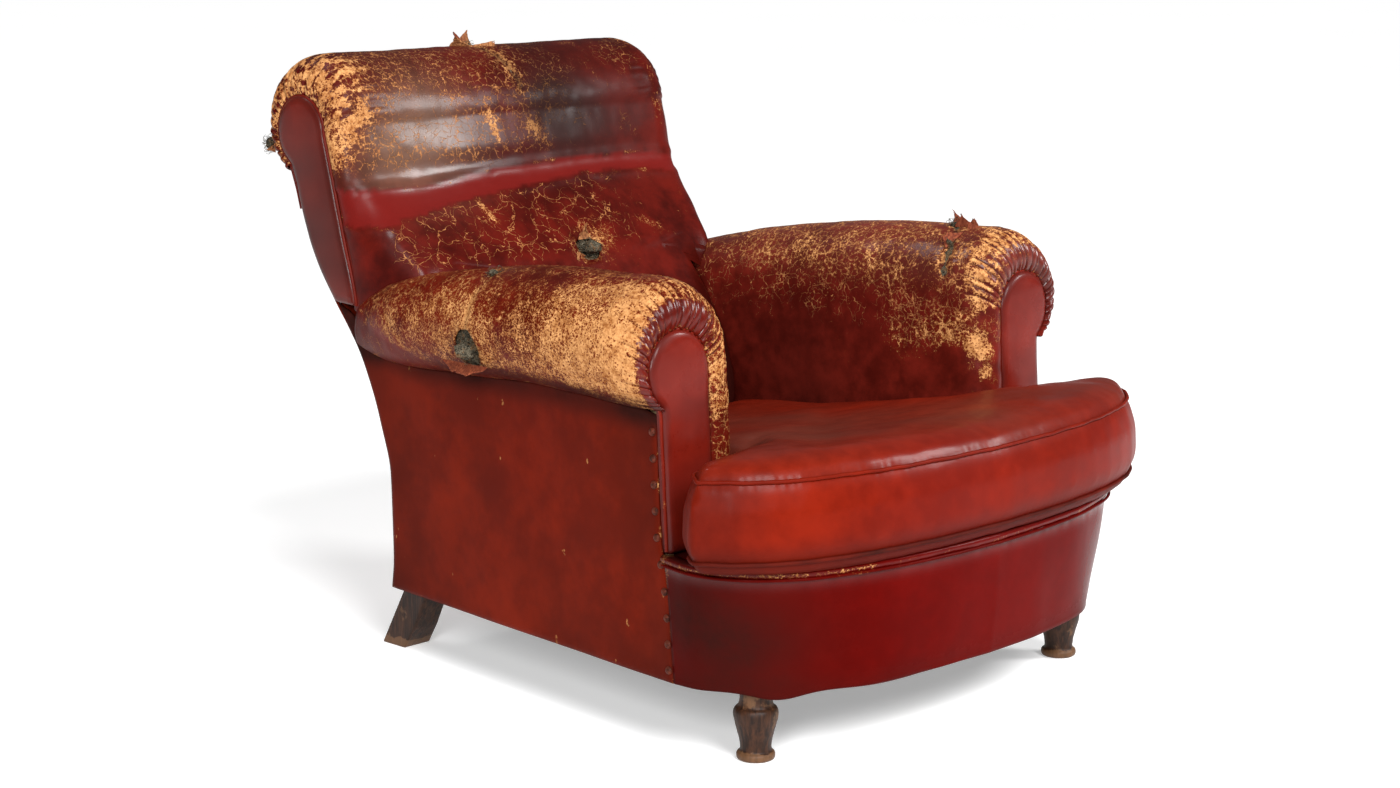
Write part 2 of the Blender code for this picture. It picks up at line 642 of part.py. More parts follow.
def arm_cover_grid(side):
    faces, rolls = ARM_FACE_POINTS, 2 * ARM_PLEATS + 1
    rows = [[(x, y, z) for x, z in arm_section(y, faces, rolls)] for y in ARM_STATIONS]
    section = arm_section(ARM_STATIONS[-1], faces, rolls)
    facing = arm_facing_outline(faces, rolls)
    for row in turned_end(section, facing, -ARM_STATIONS[-1], ARM_TURN, 4, faces - 1):
        rows.append([(x, -forward + ARM_RAKE * (z - ARM_EYE[1]), z) for x, z, forward in row])
    return mirrored(rows, side)


def arm_cover(side):
    outer = arm_cover_grid(side)
    inner = outer - grid_normals(outer) * HIDE * side
    made = shell(label("arm_cover", side), outer, inner, LEATHER_ARM)
    if side < 0:
        joined(made, lump(ARM_HOLE, ARM_HOLE_SIZE), "DIFFERENCE")
    return made


def back_cover():
    faces, rolls = BACK_FACE_POINTS, 2 * BACK_PLEATS + 1
    section = back_section(faces, rolls)
    facing = back_facing_outline(section, faces, rolls)
    halves = np.array([back_half(z) for _, z in section[:faces - 1]] + [back_half(1.0)] * rolls)
    flat = halves - BACK_TURN
    columns = []
    for u in np.linspace(-1, 1, BACK_COLUMNS):
        columns.append([(u * w, y - back_crown(u, y, z), z) for w, (y, z) in zip(flat, section)])
    for k in range(1, 5):
        angle = math.radians(115 * k / 4)
        share = (1 - math.cos(angle)) / (1 - math.cos(math.radians(115)))
        bulge = math.sin(angle)
        end = []
        for i, (s, f) in enumerate(zip(section, facing)):
            lift = pleat(i - faces) * bulge if i >= faces else 0
            reach = flat[i] + (BACK_TURN + lift) * bulge
            floor = f[0] - (flat[i] + BACK_TURN * math.sin(math.radians(115)))
            y, z = s + (f[1:] - s) * share
            end.append((reach + floor * share, y, z))
        columns.append(end)
    middle, right = np.array(columns[:BACK_COLUMNS]), np.array(columns[BACK_COLUMNS:])
    outer = np.concatenate([mirrored(right, -1)[::-1], middle, right])
    inner = outer - grid_normals(outer) * HIDE
    made = shell("back_cover", outer, inner, LEATHER_BACK)
    return joined(made, lump(BACK_HOLE, BACK_HOLE_SIZE), "DIFFERENCE")


def arm_facing(side):
    outline = arm_facing_outline(4, 17, BORDER_TOP + 0.004, 0.0012)
    neck = ARM_NECK_OUTER - 0.0012
    outline = np.concatenate([outline, [(neck, BORDER_TOP + 0.004)]])
    points = [(x, arm_face_y(z) - 0.0006, z) for x, z in outline]
    return slab(label("arm_facing", side), mirrored(points, side), (0, -FACING, 0), LEATHER_PANEL)


def back_facing(side):
    half = back_half(1.0) - 0.0030
    front = [(y + 0.0015, z) for y, z in spline(BACK_FACE_EDGE, 6)][:-1]
    eye = arc(BACK_EYE, (BACK_EYE_R - 0.0006, BACK_EYE_R - 0.0006), 180, -62, 17)
    rear = [(rear_y(z) - 0.007, z) for z in (0.655, 0.58, 0.53, BACK_FACE_EDGE[0][1])]
    points = [(half, y, z) for y, z in [*front, *eye, *rear]]
    return slab(label("back_facing", side), mirrored(points, side), (-side * 0.006, 0, 0),
                LEATHER_BACK)


def dome_nails(points):
    """Domed nail heads at the given points, as one helper mesh."""
    bm = bmesh.new()
    for point in points:
        made = bmesh.ops.create_icosphere(bm, subdivisions=1, radius=NAIL_R)
        for vert in made["verts"]:
            vert.co += Vector(point)
            vert.co.x = point[0] + (vert.co.x - point[0]) * NAIL_PROUD / NAIL_R
    return bm


def joined(made, bm, operation):
    """Adds or cuts a helper mesh with a Boolean, and leaves the helper out of the chair."""
    bmesh.ops.recalc_face_normals(bm, faces=bm.faces)
    mesh = bpy.data.meshes.new(f"{made.name}_helper")
    bm.to_mesh(mesh)
    bm.free()
    helper = bpy.data.objects.new(mesh.name, mesh)
    bpy.context.scene.collection.objects.link(helper)
    helper.hide_render = True
    helper.display_type = "WIRE"
    change = made.modifiers.new(operation.lower(), "BOOLEAN")
    change.operation = operation
    change.object = helper
    return made


def side_panel(side):
    """Outside arm: one flat leather panel with its row of nails down the front edge."""
    top = []
    for y in np.linspace(-0.27, 0.345, 8):
        top.append((y, arm_section(y, 2, 3)[-1][1] + 0.001))
    rear = [(rear_y(z), z) for z in (0.49, 0.44, 0.40, 0.35, 0.30, 0.25, 0.18, 0.12, BASE_Z)]
    front = [(y, z) for z, y in PANEL_EDGE]
    outline = front + top + [(0.360, 0.490)] + rear
    points = mirrored([(side_x(y) - PANEL, y, z) for y, z in outline], side)
    panel = slab(label("side_panel", side), points, (side * PANEL, 0, 0), LEATHER_PANEL)
    spots = []
    for z in np.linspace(NAIL_FIRST, NAIL_LAST, NAIL_COUNT):
        y = value_at(PANEL_EDGE, z) + NAIL_R + 0.001
        spots.append((side * side_x(y), y, z))
    return joined(panel, dome_nails(spots), "UNION")


def outside_back():
    rows = []
    for z in (BASE_Z, 0.14, 0.20, 0.26, 0.30, 0.338, 0.38, 0.42, 0.46, 0.50, 0.55, 0.60, 0.655):
        y = rear_y(z)
        half = min(side_x(y) - PANEL, back_half(1.0) - 0.0090) - GAP
        rows.append([(u * half, y + 0.006 * (1 - u * u), z) for u in np.linspace(-1, 1, 7)])
    outer = np.array(rows)
    inner = outer - np.array([0, PANEL, 0])
    return shell("outside_back", outer, inner, LEATHER_PANEL)


def corner_drop(x, z):
    """How much lower the border's bottom edge lies where it passes over a front leg."""
    near = math.exp(-((abs(x) - FRONT_LEG[0]) / 0.030) ** 2)
    return CORNER_DROP * near * max(0.0, 1 - (z - BASE_Z) / 0.036)


def front_border():
    """Bowed border under the cushion, a little prouder at its top edge."""
    outer, inner = [], []
    for z, lean, roll in ((BASE_Z, 0.0, 0.0), (0.13, 0.001, 0.0), (0.19, 0.001, 0.0),
                          (0.244, -0.003, 0.0), (BORDER_TOP, -0.002, 0.0005),
                          (BORDER_TOP + 0.003, 0.003, 0.0025)):
        for sheet, deeper, lower in ((outer, 0, 0), (inner, HIDE, roll)):
            plan = both_sides(border_curve(z, lean + deeper, 13))
            sheet.append([(x, y, z - lower - corner_drop(x, z)) for x, y in plan])
    return shell("front_border", np.array(outer), np.array(inner), LEATHER_BORDER)


def dust_cover():
    half = [(0.250, 0.275), (0.250, 0.205), (0.318, 0.205), (0.355, -0.362), (0.285, -0.362),
            (0.285, -0.470), (0.0, -0.512)]
    top = RAIL_LOW - GAP - STRAP_THICK - GAP
    points = [(x, y, top - 0.0012) for x, y in both_sides(np.array(half))]
    return slab("dust_cover", points, (0, 0, 0.0012), BLACK_CLOTH)


def seat_cushion():
    """Loose T cushion: box border bulging between two edges, ears before the arms."""
    wide = spline(CUSHION_PLAN, 15)
    inner_x = ARM_INNER - 0.0110
    body = [(inner_x, -0.300), (inner_x, -0.07),
            (inner_x, CUSHION_REAR - 0.03), (inner_x - 0.02, CUSHION_REAR - 0.004),
            (inner_x - 0.05, CUSHION_REAR), (0.0, CUSHION_REAR)]
    half = np.concatenate([wide, body])
    plan = np.concatenate([half, (half[1:-1] * [-1, 1])[::-1]])
    slope = np.roll(plan, -1, axis=0) - np.roll(plan, 1, axis=0)
    slope /= np.linalg.norm(slope, axis=1, keepdims=True)
    inward = np.stack([-slope[:, 1], slope[:, 0]], axis=1)
    rings = []
    for level, inset in ((0.0, 0.016), (0.05, 0.005), (0.30, -0.006), (0.60, -0.004), (0.88, 0.008),
                         (1.0, 0.022), (1.03, 0.045)):
        ring = []
        for (x, y), (nx, ny) in zip(plan, inward):
            push = inset if y < -0.34 else max(inset, 0.0)
            x, y = x + nx * push, y + ny * push
            low, high = deck_z(y) + CUSHION_LIFT, value_at(CUSHION_TOP, y)
            ring.append((x, y, low + (high - low) * level))
        rings.append(ring)
    made = loft("seat_cushion", rings, LEATHER_CUSHION)
    bm = bmesh.new()
    bm.from_mesh(made.data)
    fold(bm, [max(bm.faces, key=lambda f: -f.calc_center_median().z)])
    bm.to_mesh(made.data)
    bm.free()
    return made


def build():
    for made in list(bpy.data.objects):
        bpy.data.objects.remove(made, do_unlink=True)
    for side in (-1, 1):
        front_leg(side)
        rear_leg(side)
        arm_frame(side)
        arm_stuffing(side)
        arm_cover(side)
        arm_facing(side)
        back_facing(side)
        side_panel(side)
    seat_rails()
    back_frame()
    webbings()
    springs()
    deck_layer("deck_cover", 0.0, 0.0, HIDE, LEATHER_BORDER)
    deck_layer("seat_stuffing", 0.001, HIDE + GAP, SEAT_PAD, HORSEHAIR)
    deck_layer("spring_hessian", 0.002, HIDE + SEAT_PAD + 2 * GAP, HESSIAN_THICK, HESSIAN)
    back_stuffing()
    back_cover()
    outside_back()
    front_border()
    dust_cover()
    seat_cushion()


build()
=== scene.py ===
"""Looks of the worn leather club chair: covers, cushion, nails, wear, floor, light and camera.

Metres, +Z up. The chair faces -Y. Left is -X. Shapes follow the same knots as the frame's
solids, only finer; places of wear are points on the chair in metres.
"""
import json
import math

import bmesh
import bpy
import numpy as np
from mathutils import Matrix, Vector, noise
from mathutils.bvhtree import BVHTree


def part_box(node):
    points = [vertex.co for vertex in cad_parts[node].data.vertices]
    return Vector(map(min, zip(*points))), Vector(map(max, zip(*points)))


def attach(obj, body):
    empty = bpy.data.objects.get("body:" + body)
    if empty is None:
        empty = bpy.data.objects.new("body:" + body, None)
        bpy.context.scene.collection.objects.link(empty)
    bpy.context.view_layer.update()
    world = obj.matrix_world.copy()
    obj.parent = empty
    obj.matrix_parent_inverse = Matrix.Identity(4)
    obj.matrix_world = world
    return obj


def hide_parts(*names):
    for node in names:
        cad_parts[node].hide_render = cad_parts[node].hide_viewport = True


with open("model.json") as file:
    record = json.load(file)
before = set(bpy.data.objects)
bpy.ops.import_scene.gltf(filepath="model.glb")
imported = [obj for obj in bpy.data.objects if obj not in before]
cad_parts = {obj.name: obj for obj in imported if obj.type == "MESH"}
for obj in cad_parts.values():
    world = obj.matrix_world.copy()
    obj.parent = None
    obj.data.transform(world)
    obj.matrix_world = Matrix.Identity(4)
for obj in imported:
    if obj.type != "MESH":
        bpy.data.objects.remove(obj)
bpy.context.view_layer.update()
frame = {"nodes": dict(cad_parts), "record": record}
GAP, HIDE, PANEL = 0.0004, 0.0026, 0.005
BASE_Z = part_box("front_border")[0].z + 0.010

# Plan of the outer sides and the edges of the side panels and the front border.
SIDE_FRONT_Y, SIDE_FRONT_X, SIDE_TAPER = -0.331, 0.389, 0.0872
PANEL_EDGE = [(0.094, -0.327), (0.178, -0.323), (0.228, -0.316), (0.277, -0.304),
              (0.410, -0.2955), (0.436, -0.2945)]
BORDER_LOW = [(0.3885, -0.330), (0.384, -0.368), (0.360, -0.408), (0.318, -0.450),
              (0.250, -0.497), (0.120, -0.524), (0.0, -0.531)]
BORDER_HIGH = [(0.3885, -0.312), (0.397, -0.372), (0.376, -0.432), (0.325, -0.480),
               (0.232, -0.515), (0.100, -0.536), (0.0, -0.541)]
BORDER_TOP = 0.256
CORNER_DROP = 0.010

# Arms: the roll's top, half height and outer reach along y, and the scroll facing.
ARM_INNER = 0.2500
ARM_TOP = [(-0.27, 0.602), (-0.09, 0.597), (0.085, 0.577), (0.22, 0.553), (0.358, 0.516)]
ARM_HALF = [(-0.27, 0.086), (0.02, 0.077), (0.22, 0.067), (0.358, 0.052)]
ARM_OUTER = [(-0.27, 0.436), (0.0, 0.413), (0.22, 0.381), (0.358, 0.337)]
ARM_BOTTOM = [(-0.30, 0.238), (0.225, 0.238), (0.285, 0.400), (0.358, 0.440)]
ARM_FRONT, ARM_REAR, ARM_TURN = -0.252, 0.358, 0.058
ARM_EYE, ARM_EYE_R = (0.353, 0.488), 0.053
ARM_NECK_OUTER, ARM_FACE_Y, ARM_RAKE = 0.3835, -0.2965, 0.05

# Back: profile (y, z), the roll at its top, its width, its facing and the outside back.
BACK_EYE, BACK_EYE_R = (0.478, 0.735), 0.052
BACK_LOWER = [(0.178, 0.232), (0.140, 0.315), (0.152, 0.385), (0.190, 0.460), (0.236, 0.520),
              (0.256, 0.545)]
BACK_UPPER = [(0.266, 0.556), (0.308, 0.600), (0.345, 0.640), (0.366, 0.672), (0.374, 0.712),
              (0.383, 0.751)]
BACK_SHOULDER, BACK_ROLL, BACK_ROLL_R = 0.550, (0.476, 0.751), (0.093, 0.094)
BACK_FACE_EDGE = [(0.3605, 0.4935), (0.3665, 0.5215), (0.382, 0.574), (0.401, 0.644),
                  (0.426, 0.735)]
BACK_BETWEEN, BACK_WIDE = 0.2440, [(0.550, 0.320), (0.62, 0.3285), (0.86, 0.3300)]
BACK_HALF = BACK_WIDE[-1][1]
BACK_REAR = [(0.094, 0.292), (0.14, 0.287), (0.26, 0.290), (0.338, 0.314), (0.413, 0.351),
             (0.459, 0.384), (0.50, 0.418), (0.58, 0.470), (0.672, 0.500)]
BACK_TURN = 0.048

# Cushion plan, deck and the height of the cushion's top.
DECK_Z, DECK_SLOPE, DECK_FOLD = 0.2560, 0.095, -0.331
CUSHION_PLAN = [(0.0, -0.563), (0.14, -0.556), (0.27, -0.534), (0.355, -0.503), (0.415, -0.458),
                (0.442, -0.415), (0.428, -0.388), (0.370, -0.362), (0.275, -0.332)]
CUSHION_TOP = [(-0.57, 0.394), (-0.50, 0.395), (-0.40, 0.392), (-0.345, 0.384), (-0.238, 0.361),
               (-0.116, 0.337), (0.0, 0.327), (0.145, 0.310)]
CUSHION_REAR = 0.134

# What is sewn, nailed and torn.
CORD_R, CORD_SIDES = 0.0027, 8
NAIL_R, NAIL_FIRST, NAIL_LAST, NAIL_COUNT = 0.0053, 0.112, 0.414, 10
ARM_HOLE, BACK_HOLE = (-0.402, 0.036, 0.480), (0.022, 0.246, 0.556)
FRONT_LEG = (0.319, -0.406)


# Curves.

def between(t, start, end, leaving, arriving):
    """A smooth course from start to end as t goes from 0 to 1, by its slopes at both ends."""
    return ((2 * t**3 - 3 * t**2 + 1) * start + (t**3 - 2 * t**2 + t) * leaving
            + (3 * t**2 - 2 * t**3) * end + (t**3 - t**2) * arriving)


def value_at(knots, v):
    """The value at v of a smooth curve through (v, value) knots that never overshoots."""
    vs, ws = np.array(knots, float).T
    rates = np.diff(ws) / np.diff(vs)
    slopes = np.zeros(len(vs))
    slopes[0], slopes[-1] = rates[0], rates[-1]
    for i in range(1, len(vs) - 1):
        before, after = rates[i - 1], rates[i]
        if before * after > 0:
            slopes[i] = 2 * before * after / (before + after)
    v = np.clip(v, vs[0], vs[-1])
    i = np.clip(np.searchsorted(vs, v) - 1, 0, len(vs) - 2)
    step = vs[i + 1] - vs[i]
    return between((v - vs[i]) / step, ws[i], ws[i + 1], step * slopes[i], step * slopes[i + 1])


def spline(points, count):
    """count points, evenly spaced, on a smooth curve through the given ones."""
    points = np.array(points, float)
    reach = np.concatenate([[0], np.cumsum(np.linalg.norm(np.diff(points, axis=0), axis=1))])
    slopes = np.gradient(points, reach, axis=0)
    marks = np.linspace(0, reach[-1], count)
    i = np.clip(np.searchsorted(reach, marks) - 1, 0, len(reach) - 2)
    step = (reach[i + 1] - reach[i])[:, None]
    t = (marks - reach[i])[:, None] / step
    return between(t, points[i], points[i + 1], step * slopes[i], step * slopes[i + 1])


def arc(centre, radii, start, end, count):
    """Points on an elliptic arc, angles in degrees."""
    angles = np.radians(np.linspace(start, end, count))
    return np.stack([centre[0] + radii[0] * np.cos(angles),
                     centre[1] + radii[1] * np.sin(angles)], axis=1)


def ramp(v, low, high):
    """0 below low, 1 above high, smooth between."""
    t = np.clip((v - low) / (high - low), 0, 1)
    return t * t * (3 - 2 * t)


def swell(v, centre, width):
    """1 at centre, fading smoothly to 0 on both sides over about twice the width."""
    return np.exp(-((v - centre) / width) ** 2)


def side_x(y):
    return SIDE_FRONT_X - SIDE_TAPER * (y - SIDE_FRONT_Y)


def deck_z(y):
    return DECK_Z - DECK_SLOPE * np.maximum(y - DECK_FOLD, 0.0)


def rear_y(z):
    return value_at(BACK_REAR, z)


def arm_section(y, face_count, roll_count):
    """Section (x, z): up the inner face, over the roll and under to the side panel."""
    half, outer = value_at(ARM_HALF, y), value_at(ARM_OUTER, y)
    centre, wide = ((outer + ARM_INNER) / 2, value_at(ARM_TOP, y) - half), (outer - ARM_INNER) / 2
    reach = (side_x(y) + 0.0045 - centre[0]) / wide
    end = -math.degrees(math.acos(min(max(reach, 0.05), 0.95)))
    bottom = value_at(ARM_BOTTOM, y)
    heights = np.linspace(bottom, centre[1], face_count)[:-1]
    rise = (heights - bottom) / (centre[1] - bottom)
    face = np.stack([centre[0] - wide - 0.005 * np.sin(math.pi * rise), heights], axis=1)
    return np.concatenate([face, arc(centre, (wide, half), 180, end, roll_count)])


def arm_facing_outline(face_count, roll_count, inset=0.0):
    """Keyhole outline (x, z), in step with arm_section, up to the outer notch."""
    radius = ARM_EYE_R - inset
    notch = -math.degrees(math.acos((ARM_NECK_OUTER - inset - ARM_EYE[0]) / radius))
    heights = np.linspace(ARM_BOTTOM[0][1], ARM_EYE[1], face_count)[:-1]
    neck = np.stack([np.full(len(heights), ARM_EYE[0] - radius), heights], axis=1)
    return np.concatenate([neck, arc(ARM_EYE, (radius, radius), 180, notch, roll_count)])


def back_section(face_count, roll_count):
    """Profile (y, z): up the inside back, over the roll and under to the outside back."""
    lower = spline(BACK_LOWER, face_count // 2)
    face = np.concatenate([lower, spline(BACK_UPPER, face_count - face_count // 2)])
    return np.concatenate([face[:-1], arc(BACK_ROLL, BACK_ROLL_R, 180, -58, roll_count)])


def back_half(z):
    """Half width of the inside back at height z."""
    return np.where(z < BACK_SHOULDER, BACK_BETWEEN, value_at(BACK_WIDE, z))


def back_crown(u, y, z):
    """How far the inside back stands forward of its edges, across its width."""
    ahead = np.clip((BACK_ROLL[0] - y) / 0.05, 0, 1)
    return 0.010 * (1 - u * u) * np.clip((0.80 - z) / 0.10, 0, 1) * ahead


def border_curve(z, inset, count):
    """Half of the front border's plan at height z, moved inwards."""
    share = min(max((z - BASE_Z) / (BORDER_TOP - BASE_Z), 0), 1)
    plan = (1 - share) * np.array(BORDER_LOW) + share * np.array(BORDER_HIGH)
    plan[0, 1] = value_at(PANEL_EDGE, z) - 0.0012
    curve = spline(plan, count)
    slope = np.gradient(curve, axis=0)
    slope /= np.linalg.norm(slope, axis=1, keepdims=True)
    return curve + inset * np.stack([slope[:, 1], -slope[:, 0]], axis=1)


def both_sides(half):
    """A half plan that ends at x = 0, with its mirror image."""
    return np.concatenate([half, half[:-1][::-1] * np.array([-1, 1])])


# Working on grids of points and on the places of wear.

def rough(points, size, seed, octaves):
    """Smooth noise from about -1 to 1 at points, its lumps about size across."""
    flat = np.asarray(points, float).reshape(-1, 3) / size + seed
    made = [noise.fractal(Vector(p), 0.8, 2.1, octaves) for p in flat]
    return np.array(made).reshape(np.shape(points)[:-1])


def away(points, path):
    """Distance from points to a path of straight pieces."""
    points, path = np.asarray(points, float), np.array(path, float)
    if len(path) == 1:
        return np.linalg.norm(points - path[0], axis=-1)
    best = np.full(points.shape[:-1], np.inf)
    for a, b in zip(path, path[1:]):
        t = np.clip(((points - a) @ (b - a)) / ((b - a) @ (b - a)), 0, 1)
        best = np.minimum(best, np.linalg.norm(points - a - t[..., None] * (b - a), axis=-1))
    return best


def spots(points, places):
    """Sum of soft spots, each (centre or path, reach, strength), kept from 0 to 1."""
    total = np.zeros(points.shape[:-1])
    for path, reach, strength in places:
        path = [path] if np.ndim(path) == 1 else path
        total += strength * swell(away(points, path), 0, reach)
    return np.clip(total, 0, 1)


def grid_normals(grid, centre=None):
    """Unit normals of a grid of points, turned away from centre if it is given."""
    normals = np.cross(np.gradient(grid, axis=0), np.gradient(grid, axis=1))
    normals /= np.maximum(np.linalg.norm(normals, axis=2, keepdims=True), 1e-9)
    return normals if centre is None else normals * np.sign(np.sum(normals * (grid - centre)))


def nearest(points, run):
    """Distance from each of points to the nearest point of a run."""
    best = np.full(len(points), np.inf)
    for p in run:
        best = np.minimum(best, np.linalg.norm(points - p, axis=1))
    return best


def eased(ring, times):
    """A closed run of points with its corners eased."""
    for _ in range(times):
        ring = 0.25 * np.roll(ring, 1, axis=0) + 0.5 * ring + 0.25 * np.roll(ring, -1, axis=0)
    return ring


def patchy(points, mean, swing=0.0, size=0.05, seed=0.0, most=1.0):
    """Wear, stains and painted shade that come and go over points in lumps of one size, from 0 to
    most.
    """
    return np.clip(mean + swing * rough(points, size, seed, 2), 0, most)


def mirrored(points, side):
    points = np.array(points, float)
    points[..., 0] *= side
    return points


def label(stem, side):
    return f"{stem}_{'left' if side < 0 else 'right'}"


# Making pieces.

RIM_ROUNDS, FOLD_HEIGHT = 5, 0.0016


def settle(obj, slot, finish, replaces=()):
    """Puts a finished piece in the chair: its finish, its body and the solids it stands for."""
    obj.data.materials.clear()
    obj.data.materials.append(finish)
    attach(obj, "root")
    if replaces:
        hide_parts(*replaces)


def piece(name, bm, smooth=60.0):
    mesh = bpy.data.meshes.new(name)
    bm.to_mesh(mesh)
    bm.free()
    mesh.shade_smooth()
    mesh.set_sharp_from_angle(angle=math.radians(smooth))
    obj = bpy.data.objects.new(name, mesh)
    bpy.context.scene.collection.objects.link(obj)
    return obj


def ease_rim(bm, fixed):
    """Smooths the rim of each hole in a sheet, and leaves the sheet's own edge."""
    rim = {}
    for edge in bm.edges:
        if edge.is_boundary:
            a, b = edge.verts
            if a.index not in fixed and b.index not in fixed:
                rim.setdefault(a, []).append(b)
                rim.setdefault(b, []).append(a)
    for _ in range(RIM_ROUNDS):
        moved = {v: v.co * 0.5 + (n[0].co + n[1].co) * 0.25 for v, n in rim.items() if len(n) == 2}
        for vert, place in moved.items():
            vert.co = place


def relief(grid, normal, axis, reach):
    """Which points stand on a fold (above 0) or down in a stitch (below 0), -1 to 1."""
    around = sum(np.roll(grid, k, axis) for k in range(-reach, reach + 1)) / (2 * reach + 1)
    return np.clip(np.sum((grid - around) * normal, axis=-1) / FOLD_HEIGHT, -1, 1)


def sheet_of(name, grid, outward, thick=HIDE, gone=None, raised=None):
    """A leather sheet over a grid of points, thickened inwards, without the points in gone."""
    rows, columns = grid.shape[:2]
    bm = bmesh.new()
    layer = bm.verts.layers.float.new("raised")
    verts = [bm.verts.new(p) for p in grid.reshape(-1, 3)]
    if raised is not None:
        for vert, value in zip(verts, raised.reshape(-1)):
            vert[layer] = float(value)
    index = np.arange(rows * columns).reshape(rows, columns)
    gone = np.zeros(rows * columns, bool) if gone is None else gone.reshape(-1)
    normal = grid_normals(grid)
    way = np.sign(np.sum(normal * outward))
    for a, b in zip(index, index[1:]):
        for i in range(len(a) - 1):
            ring = (a[i], b[i], b[i + 1], a[i + 1]) if way > 0 else (a[i], a[i + 1], b[i + 1], b[i])
            if not gone[list(ring)].any():
                bm.faces.new([verts[k] for k in ring])
    if gone.any():
        bm.verts.index_update()
        ease_rim(bm, {*index[0], *index[-1], *index[:, 0], *index[:, -1]})
        bmesh.ops.delete(bm, geom=[v for v in bm.verts if not v.link_faces], context="VERTS")
    obj = piece(name, bm)
    solid = obj.modifiers.new("thickness", "SOLIDIFY")
    solid.thickness = thick
    solid.offset = -1
    return obj


def raised_of(obj):
    values = np.zeros(len(obj.data.vertices), np.float32)
    obj.data.attributes["raised"].data.foreach_get("value", values)
    return values


def paint(obj, most=1.0, **marks):
    """Stores how worn each point is, and where shade or sheen is painted on it, from 0 to most,
    under each mark's name.

    A mark is one number or one for each point, and a mark left out counts as 0.
    """
    for name, values in marks.items():
        values = np.broadcast_to(np.clip(values, 0, most), len(obj.data.vertices))
        made = obj.data.attributes.new(name, "FLOAT", "POINT")
        made.data.foreach_set("value", values.astype(np.float32))


def points_of(obj):
    co = np.empty(len(obj.data.vertices) * 3, np.float32)
    obj.data.vertices.foreach_get("co", co)
    return co.reshape(-1, 3).astype(float)


def move_points(obj, place):
    obj.data.vertices.foreach_set("co", place.astype(np.float32).reshape(-1))
    obj.data.update()


def join_rings(bm, rings):
    """Faces between each closed ring of vertices and the next."""
    for a, b in zip(rings, rings[1:]):
        for i in range(len(a)):
            j = (i + 1) % len(a)
            bm.faces.new((a[i], a[j], b[j], b[i]))


def tube(name, path, radius=CORD_R, closed=False):
    """A round cord along a path."""
    path = np.array(path, float)
    slope = np.roll(path, -1, axis=0) - np.roll(path, 1, axis=0)
    ahead = slope if closed else np.gradient(path, axis=0)
    ahead /= np.linalg.norm(ahead, axis=1, keepdims=True)
    across = np.cross(ahead, np.array([0.31, 0.17, 0.93]))
    across /= np.linalg.norm(across, axis=1, keepdims=True)
    up = np.cross(across, ahead)
    turns = np.linspace(0, 2 * math.pi, CORD_SIDES, endpoint=False)
    bm = bmesh.new()
    rings = [[bm.verts.new(p + radius * (math.cos(a) * w + math.sin(a) * u)) for a in turns]
             for p, w, u in zip(path, across, up)]
    join_rings(bm, rings + rings[:1] if closed else rings)
    if not closed:
        bm.faces.new(rings[0])
        bm.faces.new(rings[-1][::-1])
    bmesh.ops.recalc_face_normals(bm, faces=bm.faces)
    return piece(name, bm)


def sew_cord(name, path, slot, finish, bare, stain=(0.0,), radius=CORD_R, closed=False):
    """A cord of hide sewn along a path; bare says how patchy its wear is, stain how patchy its
    stains and painted shade are.
    """
    cord = tube(name, path, radius, closed)
    place = points_of(cord)
    paint(cord, bare=patchy(place, *bare), stain=patchy(place, *stain))
    settle(cord, slot, finish)


# Shader maths: a small class wraps a socket, so that an expression adds its nodes.

class Value:
    """A number that changes over a surface, as the output socket of a node."""

    def __init__(self, tree, socket):
        self.tree, self.socket = tree, socket

    def _math(self, operation, *values):
        made = self.tree.add("ShaderNodeMath", {"operation": operation}, dict(enumerate(values)))
        return Value(self.tree, made.outputs[0])

    def __add__(self, other):
        return self._math("ADD", self, other)

    def __sub__(self, other):
        return self._math("SUBTRACT", self, other)

    def __rsub__(self, other):
        return self._math("SUBTRACT", other, self)

    def __mul__(self, other):
        return self._math("MULTIPLY", self, other)

    __radd__, __rmul__ = __add__, __mul__

    def sine(self):
        return self._math("SINE", self)

    def least(self, other):
        return self._math("MINIMUM", self, other)

    def most(self, other):
        return self._math("MAXIMUM", self, other)

    def over(self, low, high):
        """0 below low and 1 above high, smooth between; low may be the larger."""
        made = self.tree.add("ShaderNodeMapRange", {"interpolation_type": "SMOOTHSTEP"},
                             {0: self, 1: low, 2: high, 3: 0.0, 4: 1.0})
        return Value(self.tree, made.outputs[0])


